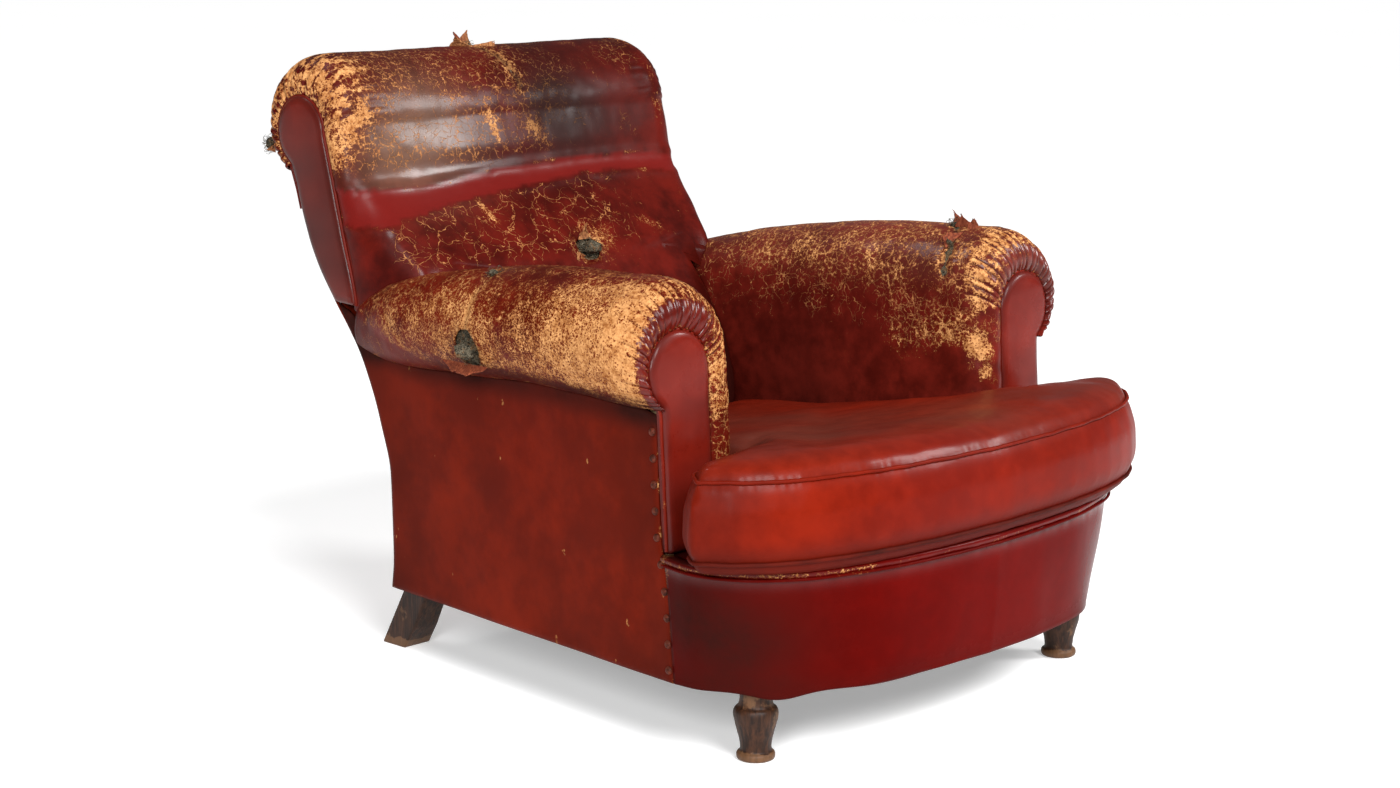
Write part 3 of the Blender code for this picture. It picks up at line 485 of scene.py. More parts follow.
class Finish:
    """One material of the chair, built from nodes in expressions."""

    def __init__(self, name):
        self.material = bpy.data.materials.new(name)
        self.material.use_nodes = True
        self.nodes, self.links = self.material.node_tree.nodes, self.material.node_tree.links
        self.shader = self.nodes["Principled BSDF"]
        self.place = self.add("ShaderNodeTexCoord").outputs["Object"]

    def add(self, kind, settings=None, sockets=None):
        """One node: its settings first, then the values or links of its sockets."""
        node = self.nodes.new(kind)
        for name, value in (settings or {}).items():
            setattr(node, name, value)
        for key, value in (sockets or {}).items():
            if isinstance(value, Value):
                value = value.socket
            if isinstance(value, bpy.types.NodeSocket):
                self.links.new(value, node.inputs[key])
            else:
                node.inputs[key].default_value = value
        return node

    def mark(self, name):
        """How worn the surface is, from the values stored on it."""
        return Value(self, self.add("ShaderNodeAttribute", {"attribute_name": name}).outputs["Fac"])

    def stretched(self, factors):
        made = self.add("ShaderNodeVectorMath", {"operation": "MULTIPLY"},
                        {0: self.place, 1: factors})
        return made.outputs[0]

    def noise(self, scale, detail=4.0, roughness=0.55, place=None, distortion=0.0):
        made = self.add("ShaderNodeTexNoise", {}, {"Vector": place or self.place, "Scale": scale,
                        "Detail": detail, "Roughness": roughness, "Distortion": distortion})
        return Value(self, made.outputs["Fac"])

    def wandering(self, scale, reach):
        """Places shifted by noise, so that lines drawn at them wander."""
        made = self.add("ShaderNodeTexNoise", {}, {"Vector": self.place, "Scale": scale,
                                                   "Detail": 3.0})
        centred = self.add("ShaderNodeVectorMath", {"operation": "SUBTRACT"},
                           {0: made.outputs["Color"], 1: (0.5, 0.5, 0.5)})
        moved = self.add("ShaderNodeVectorMath", {"operation": "MULTIPLY_ADD"},
                         {0: centred.outputs[0], 1: (reach, reach, reach), 2: self.place})
        return moved.outputs[0]

    def cells(self, scale, place=None, feature="DISTANCE_TO_EDGE"):
        made = self.add("ShaderNodeTexVoronoi", {"feature": feature},
                        {"Vector": place or self.place, "Scale": scale})
        return Value(self, made.outputs["Distance"])

    def mix(self, share, first, second):
        """Colour between first and second; each is a colour or a link."""
        first, second = (
            (*value, 1.0) if isinstance(value, tuple) else value for value in (first, second))
        made = self.add("ShaderNodeMix", {"data_type": "RGBA"}, {0: share, 6: first, 7: second})
        return made.outputs[2]

    def finish(self, colour, roughness=None, height=None, depth=0.001, coat=None, **constants):
        """Links what varies to the shader, sets what doesn't, and returns the material."""
        self.links.new(colour, self.shader.inputs["Base Color"])
        for name, value in (("Roughness", roughness), ("Coat Weight", coat)):
            if value is not None:
                self.links.new(value.socket, self.shader.inputs[name])
        if height is not None:
            bump = self.add("ShaderNodeBump", {}, {"Height": height, "Distance": depth,
                                                   "Strength": 1.0})
            self.links.new(bump.outputs[0], self.shader.inputs["Normal"])
        for name, value in constants.items():
            self.shader.inputs[name.replace("_", " ")].default_value = value
        return self.material


TAN_DARK, TAN_LIGHT, TAN_EDGE = (0.24, 0.078, 0.017), (0.60, 0.300, 0.115), (0.27, 0.078, 0.019)
RUBBED, FRESH_RED = (0.210, 0.054, 0.013), (0.125, 0.0075, 0.0060)
# The dulled grey-brown is rubbed leather and partly a painted sheen; the blackened red and the
# soiled tan are real stains and painted shade.
DULLED_AND_SHEEN, BLACKENED_AND_SHADED = (0.150, 0.085, 0.055), (0.016, 0.0045, 0.0034)
SOILED_AND_SHADED_TAN = (0.05, 0.020, 0.008)
FLESH_DARK, FLESH_LIGHT = (0.12, 0.036, 0.014), (0.42, 0.185, 0.070)
FLESH_RED = (0.11, 0.024, 0.012)
HAIR_DARK, HAIR_PALE, HAIR_BROWN = (0.006, 0.005, 0.004), (0.17, 0.145, 0.100), (0.17, 0.085, 0.035)
CHIPPED_WOOD = (0.16, 0.078, 0.036)
COAT_ROUGHNESS, COAT_IOR = 0.20, 1.4


def leather(name, deep, bright, sheen, gloss=0.34, grain=0.5, scuffs=0.0, pale=1.0):
    """Old hide, which wears by the marks stored on it.

    bare is rubbed through to tan, cracks is crazed with short tan lines and long with long ones,
    stain is blackened by real stains and by painted shade, rub is dulled grey-brown by real rubbing
    and partly by a painted sheen, fresh is bright red and polish is glossy.
    """
    f = Finish(name)
    bare, cracks, stain = f.mark("bare"), f.mark("cracks"), f.mark("stain")
    rub, fresh, long = f.mark("rub"), f.mark("fresh"), f.mark("long")
    broad, mottle, fine = f.noise(7, 4), f.noise(38, 6, 0.6), f.noise(230, 6, 0.66)
    patch, gate = f.noise(70, 4), f.noise(13, 3)
    pores = f.cells(900, feature="F1")
    torn_finish = f.noise(58, 12, 0.72, distortion=0.2)
    crumbs = f.cells(290, f.wandering(130, 0.006))
    lines, twigs = f.cells(23, f.wandering(20, 0.060)), f.cells(41, f.wandering(44, 0.030))
    web, mesh = f.cells(80, f.wandering(66, 0.015)), f.cells(170, f.wandering(120, 0.008))

    def crack(edges, amount, widest, full, rim, rate, solid):
        """Lines along the edges of cells, widest where amount reaches full."""
        wide = widest * amount.over(0.0, full)
        return (1 - edges.over(wide * 0.3, wide + rim)) * (wide * rate).over(0.0, solid)

    field = (torn_finish * 0.62 + fine * 0.80 - 0.21 + (0.14 - crumbs) * 1.1
             + (0.15 - web) * (0.15 + 1.0 * cracks) + (0.15 - mesh) * 0.5)
    over_bare = field + bare * 0.74 - 1.03
    flake = over_bare.over(-0.03, 0.08)
    long_cracks = crack(lines, long * 1.1 + gate * 1.7 + patch * 1.4 - 2.05,
                        0.013, 0.6, 0.0008, 120, 1.0)
    long_cracks = long_cracks.most(crack(twigs, long * 1.1 + mottle * 2.2 + patch * 1.2 - 2.30,
                                         0.017, 0.6, 0.0012, 100, 0.9))
    short_cracks = crack(web, cracks * 1.25 + mottle * 1.4 + gate * 1.3 - 1.95,
                         0.070, 0.75, 0.0010, 40, 1.0)
    short_cracks = short_cracks.most(crack(mesh, cracks * 1.25 + patch * 1.8 + broad * 1.2 - 2.35,
                                           0.055, 0.75, 0.002, 30, 0.8))
    tan = flake.most(long_cracks * fine.over(0.36, 0.50))
    tan = tan.most(short_cracks * fine.over(0.40, 0.56) * 0.9)
    if scuffs:
        nicks = (f.noise(60, 2, place=f.stretched((1, 1, 0.55))) * 0.6
                 + f.noise(19, 2) * 0.4).over(0.685 - scuffs, 0.70 - scuffs)
        tan = tan.most(nicks * fine.over(0.42, 0.55))

    red = f.mix((broad * 0.6 + mottle * 0.4).over(0.36, 0.66), deep, bright)
    red = f.mix((over_bare + 0.10 + 0.16 * bare).over(0.0, 0.22) * 0.75, red, RUBBED)
    red = f.mix(rub * (0.35 + 0.6 * mottle), red, DULLED_AND_SHEEN)
    red = f.mix((stain * (0.55 + 0.8 * mottle)).least(0.94), red, BLACKENED_AND_SHADED)
    red = f.mix(fresh, red, FRESH_RED)
    gold = tuple(part * pale for part in TAN_LIGHT)
    hide = f.mix((fine * 0.5 + patch * 0.3 + mottle * 0.3).over(0.40, 0.68), TAN_DARK, gold)
    hide = f.mix((1 - over_bare.over(0.0, 0.22)) * 0.55, hide, TAN_EDGE)
    hide = f.mix((stain * 0.8).least(0.8), hide, SOILED_AND_SHADED_TAN)
    colour = f.mix(tan * 0.95, red, hide)
    rough_at = (gloss + 0.22 * tan + 0.28 * stain + 0.16 * rub + 0.12 * (mottle - 0.5)
                + 0.06 * (fine - 0.5))
    height = (grain * 0.10 * pores + 0.16 * fine * grain + 0.10 * mottle - 0.50 * tan
              - 0.25 * short_cracks * cracks)
    coat = f.mark("polish") * (1 - tan) * (0.55 + 0.5 * mottle)
    return f.finish(colour, rough_at, height, 0.0010, coat, Specular_IOR_Level=sheen,
                    Coat_Roughness=COAT_ROUGHNESS, Coat_IOR=COAT_IOR)


def bare_hide(name, dark=FLESH_DARK, light=FLESH_LIGHT):
    """The flesh side of torn leather: fibre, darker and redder in places."""
    f = Finish(name)
    fibre = f.noise(420, 6, 0.6, place=f.stretched((1, 1, 0.25)))
    broad = f.noise(60, 4)
    colour = f.mix(fibre.over(0.35, 0.65), dark, light)
    colour = f.mix(broad.over(0.45, 0.65) * 0.5, colour, FLESH_RED)
    return f.finish(colour, 0.62 + 0.2 * fibre, fibre * 0.8 + broad * 0.4, 0.001,
                    Specular_IOR_Level=0.1)


def horsehair(name):
    f = Finish(name)
    strands = f.noise(300, 7, 0.75, distortion=1.6)
    clumps = f.noise(120, 5)
    colour = f.mix(strands.over(0.42, 0.60), HAIR_DARK, HAIR_PALE)
    colour = f.mix(clumps.over(0.50, 0.62) * 0.55, colour, HAIR_BROWN)
    return f.finish(colour, 0.75 + 0.2 * strands, strands + clumps, 0.0025, Specular_IOR_Level=0.05)


def wood(name, dark, light, worn=0.0):
    f = Finish(name)
    along = f.stretched((1.0, 1.0, 0.10))
    grain = f.noise(190, 6, 0.6, place=along, distortion=0.6)
    patches = f.noise(26, 7, 0.66)
    colour = f.mix(grain.over(0.35, 0.68), dark, light)
    if worn:
        edge = f.mark("bare")
        chipped = (patches + edge * 0.34 - 0.71 + worn).over(0.0, 0.08)
        colour = f.mix(chipped * (0.30 + 0.5 * grain), colour, CHIPPED_WOOD)
    return f.finish(colour, 0.34 + 0.3 * patches, grain * 0.4 + patches * 0.6, 0.0006,
                    Specular_IOR_Level=0.18)


def weave(name, dark, light, thread=0.0016):
    """A coarse plain weave, seen at its threads' real size."""
    f = Finish(name)
    rate = math.pi / thread
    warp = f.add("ShaderNodeSeparateXYZ", {}, {0: f.place}).outputs
    waves = [(Value(f, warp[k]) * rate).sine() for k in range(3)]
    threads = (waves[0] * waves[1]).most(waves[0] * waves[2])
    fuzz = f.noise(600, 4)
    colour = f.mix((threads * 0.5 + fuzz).over(0.1, 1.0), dark, light)
    return f.finish(colour, 0.85 + 0.1 * fuzz, threads * 0.5 + fuzz * 0.5, 0.0006)


def metal(name, colour, tarnish, shine=0.32, shiny=0.85):
    f = Finish(name)
    dull = f.noise(140, 6, 0.65)
    mixed = f.mix(dull.over(0.42, 0.62), colour, tarnish)
    return f.finish(mixed, shine + 0.35 * dull, dull, 0.0004, Metallic=shiny,
                    Specular_IOR_Level=0.5 * shiny)


# Finishes, named by the record's slots.

ARM = leather("arm_leather", (0.050, 0.0030, 0.0012), (0.125, 0.0075, 0.0028), sheen=0.035)
# A brighter copy of the arm leather, with paler tan, for the far arm: partly painted light on that
# arm and partly its paler wear.
ARM_RIGHT_LIT = leather("arm_leather_right_lit", (0.060, 0.0046, 0.0028), (0.165, 0.0130, 0.0075),
                    sheen=0.07, pale=1.30)
PAD_HIDE = leather("facing_leather", (0.100, 0.0052, 0.0018), (0.165, 0.0096, 0.0032),
                       gloss=0.26, grain=0.4, sheen=0.09)
BACK = leather("back_leather", (0.034, 0.0022, 0.0013), (0.095, 0.0055, 0.0028), sheen=0.07)
SIDE = leather("panel_leather", (0.090, 0.0056, 0.0012), (0.146, 0.0096, 0.0020),
               gloss=0.38, scuffs=0.022, grain=0.35, sheen=0.02)
CUSHION = leather("cushion_leather", (0.108, 0.0048, 0.0009), (0.174, 0.0086, 0.0016),
                  gloss=0.38, grain=0.3, sheen=0.045)
BORDER = leather("border_leather", (0.066, 0.0006, 0.0002), (0.092, 0.0008, 0.0002),
                 gloss=0.24, grain=0.10, sheen=0.018)
TORN = bare_hide("torn_hide")
TORN_RED = bare_hide("torn_hide_outside", (0.090, 0.014, 0.007), (0.270, 0.070, 0.030))
HAIR = horsehair("horsehair")
LEG = wood("leg_wood", (0.012, 0.0052, 0.003), (0.048, 0.018, 0.008), 0.10)
BEECH = wood("frame_beech", (0.36, 0.22, 0.11), (0.55, 0.37, 0.21))
JUTE = weave("webbing", (0.20, 0.14, 0.075), (0.46, 0.36, 0.21), 0.0022)
HESSIAN = weave("hessian", (0.22, 0.15, 0.08), (0.50, 0.38, 0.22))
LINING = weave("black_cloth", (0.006, 0.006, 0.006), (0.030, 0.028, 0.027), 0.0008)
STEEL = metal("spring_steel", (0.34, 0.31, 0.28), (0.16, 0.07, 0.03))
NAIL = metal("nail_heads", (0.100, 0.022, 0.012), (0.030, 0.008, 0.005), 0.30, 0.15)


# Arms.

ARM_PLEATS, COLUMNS_A_PLEAT, FACE_COLUMNS = 25, 7, 41
ARM_ROWS, TURN_ROWS = 118, 26


def gathers(columns, flat_columns, each, count, seed):
    """Height from 0 (in the stitch) to 1 (on the fold) along the columns of a gathered end."""
    rng = np.random.default_rng(seed)
    depth = rng.uniform(0.65, 1.0, count + 60)
    place = (np.arange(columns) - flat_columns) / each
    place = place + 0.16 * np.sin(place * 2.3 + seed) + 0.10 * np.sin(place * 5.1)
    fold = np.abs(np.sin(math.pi * place)) ** 0.55
    return fold * depth[np.floor(place).astype(int) + 30]


def arm_grid(side):
    """The cover from the rear of the arm to its front, then round in to the facing."""
    rolls = ARM_PLEATS * COLUMNS_A_PLEAT + 1
    ys = ARM_FRONT + (ARM_REAR - ARM_FRONT) * np.linspace(1, 0, ARM_ROWS)
    rows = [[(x, y, z) for x, z in arm_section(y, FACE_COLUMNS, rolls)] for y in ys]
    section = arm_section(ARM_FRONT, FACE_COLUMNS, rolls)
    facing = arm_facing_outline(FACE_COLUMNS, rolls)
    fold = gathers(len(section), FACE_COLUMNS, COLUMNS_A_PLEAT, ARM_PLEATS, 3 + side)
    low = np.arange(len(section)) < FACE_COLUMNS
    lift = np.where(low, 0.0018, 0.0044) * fold - np.where(low, 0.0006, 0.0026)
    full = math.radians(120)
    out = (section - facing) / np.linalg.norm(section - facing, axis=1, keepdims=True)
    for k in range(1, TURN_ROWS + 1):
        angle = full * k / TURN_ROWS
        share, bulge = (1 - math.cos(angle)) / (1 - math.cos(full)), math.sin(angle)
        held = lift * float(ramp(k / TURN_ROWS, 0.02, 0.45))
        ab = section + (facing - section) * share + out * (held * math.cos(angle))[:, None]
        forward = -ARM_FRONT + (ARM_TURN + held) * bulge
        y = -forward + ARM_RAKE * (ab[:, 1] - ARM_EYE[1])
        rows.append(np.stack([ab[:, 0], y, ab[:, 1]], axis=1))
    grid = np.array(rows, float)
    run_up = ramp(grid[:ARM_ROWS, :, 1], ARM_FRONT + 0.062, ARM_FRONT) * ~low * (fold - 0.5)
    normal = grid_normals(grid, (ARM_EYE[0], 0.0, ARM_EYE[1]))
    grid[:ARM_ROWS] += normal[:ARM_ROWS] * (0.0015 * run_up)[..., None]
    free = ramp(np.arange(len(grid)), len(grid) - 1, len(grid) - 8)[:, None]
    sag = 0.0016 * rough(grid, 0.11, 2.0 + side, 2) + 0.0006 * rough(grid, 0.028, 5.0 + side, 2)
    return mirrored(grid + normal * (sag * free)[..., None], side), mirrored(normal, side)


def creased(grid, normal, creases):
    """Pushes creases into a grid: each is (path, width, depth)."""
    for path, width, depth in creases:
        wander = width * (1 + 0.5 * rough(grid, 0.03, 9.0, 2))
        grid = grid - normal * (depth * swell(away(grid, path), 0, wander))[..., None]
    return grid


def torn_open(grid, normal, place, size, ragged, lip):
    """Lifts the lip of a torn hole in a grid, and says which points are gone.

    ragged is the swing and the lump size of its outline; lip is the height, place and width.
    """
    hole = np.linalg.norm((grid - place) / size, axis=2)
    hole += ragged[0] * rough(grid, *ragged[1:], 2)
    return grid + normal * (lip[0] * swell(hole, *lip[1:]))[..., None], hole < 1.0


LEFT_CREASE = [(-0.350, 0.030, 0.587), (-0.385, 0.032, 0.565), (-0.405, 0.034, 0.530),
               (-0.409, 0.036, 0.495)]
REAR_CREASE = [(-0.372, 0.262, 0.512), (-0.386, 0.225, 0.488), (-0.396, 0.180, 0.464),
               (-0.402, 0.130, 0.448)]
FAR_TEAR = [(0.348, -0.184, 0.600), (0.322, -0.203, 0.597), (0.300, -0.217, 0.590),
            (0.276, -0.229, 0.575), (0.263, -0.230, 0.559), (0.254, -0.233, 0.540)]


def arm_sheet(name, grid, normal, gone=None):
    """The cover's sheet, and where it is turned in at the front and how high each pleat stands."""
    made = sheet_of(name, grid, normal, gone=gone,
                    raised=relief(grid, normal, 1, COLUMNS_A_PLEAT // 2))
    y = points_of(made)[:, 1]
    turned = ramp(y, ARM_FRONT - 0.043, ARM_FRONT - 0.055)
    pleated = ramp(y, ARM_FRONT + 0.010, ARM_FRONT - 0.010) * raised_of(made)
    return made, turned, pleated


def near_arm_cover():
    """Rubbed to tan along the outside of the roll, with a hole and a crease down to it."""
    grid, normal = arm_grid(-1)
    grid = creased(grid, normal, [(LEFT_CREASE, 0.004, 0.0032), (REAR_CREASE, 0.005, 0.0016)])
    grid, gone = torn_open(grid, normal, np.add(ARM_HOLE, (0, 0, 0.003)),
                           (0.040, 0.0240, 0.0240), (0.22, 0.011, 4.0), (0.0022, 1.12, 0.22))
    made, turned, pleated = arm_sheet("arm_cover_left_hide", grid, normal, gone)
    place = points_of(made)
    x, y, z = place.T
    turned = turned * (1 - ramp(x, -0.315, -0.290) * ramp(y, -0.262, -0.285))
    outside = ramp(x, -0.350, -0.400)
    edge = ramp(y, ARM_FRONT + 0.030, ARM_FRONT - 0.030) * (1 - turned)
    bare = 0.30 + outside * (0.30 + 0.11 * ramp(y, 0.10, -0.27) + 0.09 * ramp(y, -0.05, -0.27))
    bare += 0.24 * edge * ramp(z, 0.40, 0.47) + 0.10 * ramp(x, -0.34, -0.30) * ramp(y, 0.0, -0.25)
    bare += spots(place, [(LEFT_CREASE, 0.010, 0.30), (ARM_HOLE, 0.045, 0.12),
                          ((-0.38, 0.22, 0.50), 0.08, 0.08), ((-0.427, -0.20, 0.50), 0.06, 0.12)])
    bare = bare * (1 - 0.65 * turned) * ramp(z, 0.28, 0.42) + 0.20 * rough(place, 0.040, 8.0, 3)
    bare += 0.35 * pleated - 0.25 * spots(place, [((-0.37, -0.06, 0.585), 0.07, 1.0)])
    # Painted shade: under darkens the roll's lower edge over the side panel, and behind the rear of
    # the roll's underside; both lie in shade, and tan wear is taken away there.
    ys = np.linspace(ARM_FRONT, ARM_REAR, 40)
    bottom = np.interp(y, ys, [arm_section(v, 2, 3)[-1][1] for v in ys])
    behind = np.interp(y, [0.14, 0.153, 0.21, 0.29, 0.36], [0.437, 0.444, 0.458, 0.472, 0.492])
    behind = ramp(behind - z, -0.004, 0.006) * ramp(y, 0.12, 0.16) * ramp(x, -0.30, -0.32)
    under = np.maximum(ramp(z - bottom, 0.030, 0.004) * outside, behind)
    black = spots(place, [(ARM_HOLE, 0.0285, 0.85), (REAR_CREASE, 0.006, 0.5),
                          (LEFT_CREASE, 0.003, 0.5), ((-0.355, 0.03, 0.580), 0.022, 0.45)])
    shine = spots(place, [((-0.350, 0.005, 0.588), 0.030, 0.8), ((-0.33, -0.24, 0.598), 0.04, 0.5)])
    paint(made, bare=bare - 0.42 * under - 0.5 * behind,
          cracks=(0.85 - 0.75 * outside + 0.45 * edge - 0.5 * turned
                  - 0.4 * ramp(z, 0.48, 0.40) - behind),
          long=0.7 * ramp(x, -0.395, -0.37) - turned,
          stain=0.80 * under - 0.55 * behind - 0.5 * pleated + black,
          fresh=0.12 * turned, polish=0.75 * turned + shine)
    settle(made, "arm_leather", ARM, ["arm_cover_left"])


def far_arm_cover():
    """Crazed over the top and torn at the front of the roll, and rubbed down its inner face."""
    grid, normal = arm_grid(1)
    grid = creased(grid, normal, [(FAR_TEAR, 0.007, 0.0050)])
    made, turned, pleated = arm_sheet("arm_cover_right_hide", grid, normal)
    place = points_of(made)
    x, y, z = place.T
    turned = turned * ramp(x, 0.290, 0.315)
    high = ramp(z, 0.485, 0.545)
    bare = 0.02 + 0.10 * ramp(z, 0.44, 0.50) + 0.27 * high + 0.24 * rough(place, 0.045, 3.0, 3)
    bare += 0.40 * pleated
    broken = 0.70 + 0.9 * rough(place, 0.022, 7.0, 3)
    inner_face = [(0.252, -0.295, 0.445), (0.252, -0.25, 0.452), (0.252, -0.20, 0.447),
                  (0.252, -0.15, 0.436)]
    front_edge = [(0.262, -0.303, 0.30), (0.262, -0.300, 0.44)]
    shoulder = [(0.30, -0.29, 0.59), (0.27, -0.285, 0.55), (0.255, -0.29, 0.50)]
    bare += broken * spots(place, [(FAR_TEAR, 0.020, 0.30), (inner_face, 0.026, 0.74),
                                   (front_edge, 0.018, 0.75), (shoulder, 0.030, 0.42),
                                   ((0.35, -0.25, 0.602), 0.04, 0.25),
                                   ((0.26, -0.02, 0.55), 0.10, 0.10)])
    bare = bare * (1 - 0.5 * turned) + 0.3 * ramp(x, 0.40, 0.43) * ramp(y, 0.0, -0.2)
    cracks = 0.62 + 0.25 * high + 0.5 * rough(place, 0.09, 12.0, 2) - 0.55 * turned
    cracks += spots(place, [((0.252, -0.22, 0.445), 0.07, 0.6)]) - 0.75 * ramp(z, 0.47, 0.41)
    # Painted shade: the broad dark spot low on the inner face, where it meets the cushion. The rub
    # over the top is dulled leather and partly a painted sheen.
    black = spots(place, [(FAR_TEAR, 0.0055, 0.95), ((0.25, 0.02, 0.34), 0.10, 0.35)])
    paint(made, bare=bare, cracks=cracks, long=0.80 * ramp(z, 0.40, 0.48) - turned,
          stain=black - 0.5 * pleated, rub=0.12 * high,
          fresh=0.20 * spots(place, [((0.255, -0.12, 0.50), 0.07, 1.0)]),
          polish=0.5 * turned + 0.35 * high + spots(place, [((0.29, -0.25, 0.58), 0.03, 0.5)]))
    settle(made, "arm_leather", ARM_RIGHT_LIT, ["arm_cover_right"])


# Back.

BACK_PLEATS, BACK_EACH, BACK_FACES = 25, 7, 79
BACK_COLUMNS, BACK_TURN_COLUMNS = 97, 22
BAND_X = [-0.31, -0.22, -0.067, 0.096, 0.224, 0.31]
BAND_LOW = [0.608, 0.624, 0.641, 0.654, 0.651, 0.641]
BAND_HIGH = [0.658, 0.653, 0.670, 0.676, 0.674, 0.665]
BUTTON_MARKS = [(-0.074, 0.352, 0.656), (0.226, 0.352, 0.658)]
TOP_TEAR = [(-0.010, 0.480, 0.846), (0.000, 0.440, 0.838), (0.012, 0.408, 0.815),
            (0.016, 0.390, 0.785)]


def facing_edge(section):
    """Where the back cover ends under the facing, in step with the section."""
    edge = [(z, y) for y, z in BACK_FACE_EDGE]
    low, high = edge[1][0], edge[-1][0]
    half = BACK_HALF - 0.002
    y, z = section[:BACK_FACES - 1].T
    down = low + (high - low) * (z - BACK_SHOULDER) / (BACK_ROLL[1] - BACK_SHOULDER)
    in_arms = z < BACK_SHOULDER
    face = np.stack([np.where(in_arms, BACK_BETWEEN - 0.0046, half),
                     np.where(in_arms, y + 0.055, value_at(edge, down)),
                     np.where(in_arms, z, down)], axis=1)
    eye = arc(BACK_EYE, (BACK_EYE_R, BACK_EYE_R), 180, -62, BACK_PLEATS * BACK_EACH + 1)
    return np.concatenate([face, [(half, y, z) for y, z in eye]])


def over_arms(grid, height):
    """Draws the pad's lower edge down on to the arm rolls; height is that of each column."""
    x, y, z = np.abs(grid[..., 0]), np.minimum(grid[..., 1], ARM_REAR), grid[..., 2]
    half, outer = value_at(ARM_HALF, y), value_at(ARM_OUTER, y)
    wide, middle = (outer - ARM_INNER) / 2, (outer + ARM_INNER) / 2
    across = np.clip((x - middle) / wide, -0.97, 0.97)
    roll = value_at(ARM_TOP, y) - half + half * np.sqrt(1 - across**2)
    share = (height >= BACK_SHOULDER - 1e-4) * ramp(height, 0.595, BACK_SHOULDER)
    drop = np.clip(z - roll + 0.010, 0.0, 0.055) * share
    drop = drop * ramp(x, BACK_BETWEEN - 0.006, BACK_BETWEEN + 0.012)
    profile = np.array(BACK_LOWER + BACK_UPPER)
    lean = np.interp(z, *profile.T[::-1]) - np.interp(z - drop, *profile.T[::-1])
    lean = np.clip(lean, 0.0, 0.020) * ramp(x, BACK_HALF - 0.004, BACK_HALF - 0.050)
    return grid - np.stack([0 * x, lean, drop], axis=-1)


def back_grid():
    rolls = BACK_PLEATS * BACK_EACH + 1
    section = back_section(BACK_FACES, rolls)
    edge = facing_edge(section)
    halves = np.concatenate([back_half(section[:BACK_FACES - 1, 1]), np.full(rolls, BACK_HALF)])
    flat = halves - BACK_TURN
    y, z = section.T
    fold = gathers(len(section), BACK_FACES, BACK_EACH, BACK_PLEATS, 11)
    low = np.arange(len(section)) < BACK_FACES
    lift = np.where(low, 0.0, 0.0046 * fold - 0.0026)
    columns = [np.stack([u * flat, y - back_crown(u, y, z), z], axis=1)
               for u in np.linspace(-1, 1, BACK_COLUMNS)]
    full = math.radians(115)
    for k in range(1, BACK_TURN_COLUMNS + 1):
        angle = full * k / BACK_TURN_COLUMNS
        share, bulge = (1 - math.cos(angle)) / (1 - math.cos(full)), math.sin(angle)
        held = lift * float(ramp(k / BACK_TURN_COLUMNS, 0.0, 0.45))
        reach = flat + (BACK_TURN + held) * bulge
        floor = edge[:, 0] - (flat + BACK_TURN * math.sin(full))
        yz = section + (edge[:, 1:] - section) * share
        columns.append(np.concatenate([(reach + floor * share)[:, None], yz], axis=1))
    middle, right = np.array(columns[:BACK_COLUMNS]), np.array(columns[BACK_COLUMNS:])
    grid = over_arms(np.concatenate([mirrored(right, -1)[::-1], middle, right]), section[:, 1])
    normal = grid_normals(grid, (0, *BACK_ROLL))
    from_end = BACK_HALF - BACK_TURN - np.abs(grid[..., 0])
    run_up = ramp(from_end, 0.050, 0.0) * ~low * (fold - 0.5) * (from_end > 0)
    free = ramp(np.minimum(np.arange(len(grid)), np.arange(len(grid))[::-1]), 0, 8)[:, None]
    sag = 0.0014 * rough(grid, 0.15, 21.0, 2) + 0.0006 * rough(grid, 0.032, 13.0, 2)
    return grid + normal * (0.0018 * run_up + sag * free)[..., None], normal


def band_place(points):
    """How far points stand from the edges of the unworn band across the back: above 0 inside."""
    x, z = points[..., 0], points[..., 2]
    low, high = np.interp(x, BAND_X, BAND_LOW), np.interp(x, BAND_X, BAND_HIGH)
    on_face = points[..., 1] < 0.44
    return np.where(on_face, np.minimum(z - low, high - z), -0.05)


def back_sheet():
    """The back cover's sheet: the unworn band's welts, folds, button marks and a torn hole."""
    grid, normal = back_grid()
    edge = band_place(grid)
    welts = swell(edge, -0.004, 0.005) - 0.8 * ramp(edge, 0.0, 0.006)
    grid = grid + normal * (0.0014 * welts)[..., None]
    lower_fold = [(-0.29, 0.255, 0.560), (-0.21, 0.262, 0.567), (-0.10, 0.262, 0.565)]
    corner_fold = [(-0.295, 0.300, 0.600), (-0.285, 0.270, 0.572), (-0.262, 0.250, 0.552)]
    far_fold = [(0.10, 0.345, 0.650), (0.22, 0.285, 0.590), (0.27, 0.262, 0.562)]
    folds = [(lower_fold, 0.006, 0.0016), (TOP_TEAR, 0.005, 0.0040),
             (corner_fold, 0.010, 0.003), (far_fold, 0.008, 0.0012)]
    folds += [([(x, y, z), (x + 0.002, y, z)], 0.006, 0.0012) for x, y, z in BUTTON_MARKS]
    grid = creased(grid, normal, folds)
    grid, gone = torn_open(grid, normal, BACK_HOLE, (0.024, 0.030, 0.0125),
                           (0.25, 0.010, 6.0), (0.003, 1.15, 0.25))
    return sheet_of("back_cover_hide", grid, normal, gone=gone,
                    raised=relief(grid, normal, 0, BACK_EACH // 2))


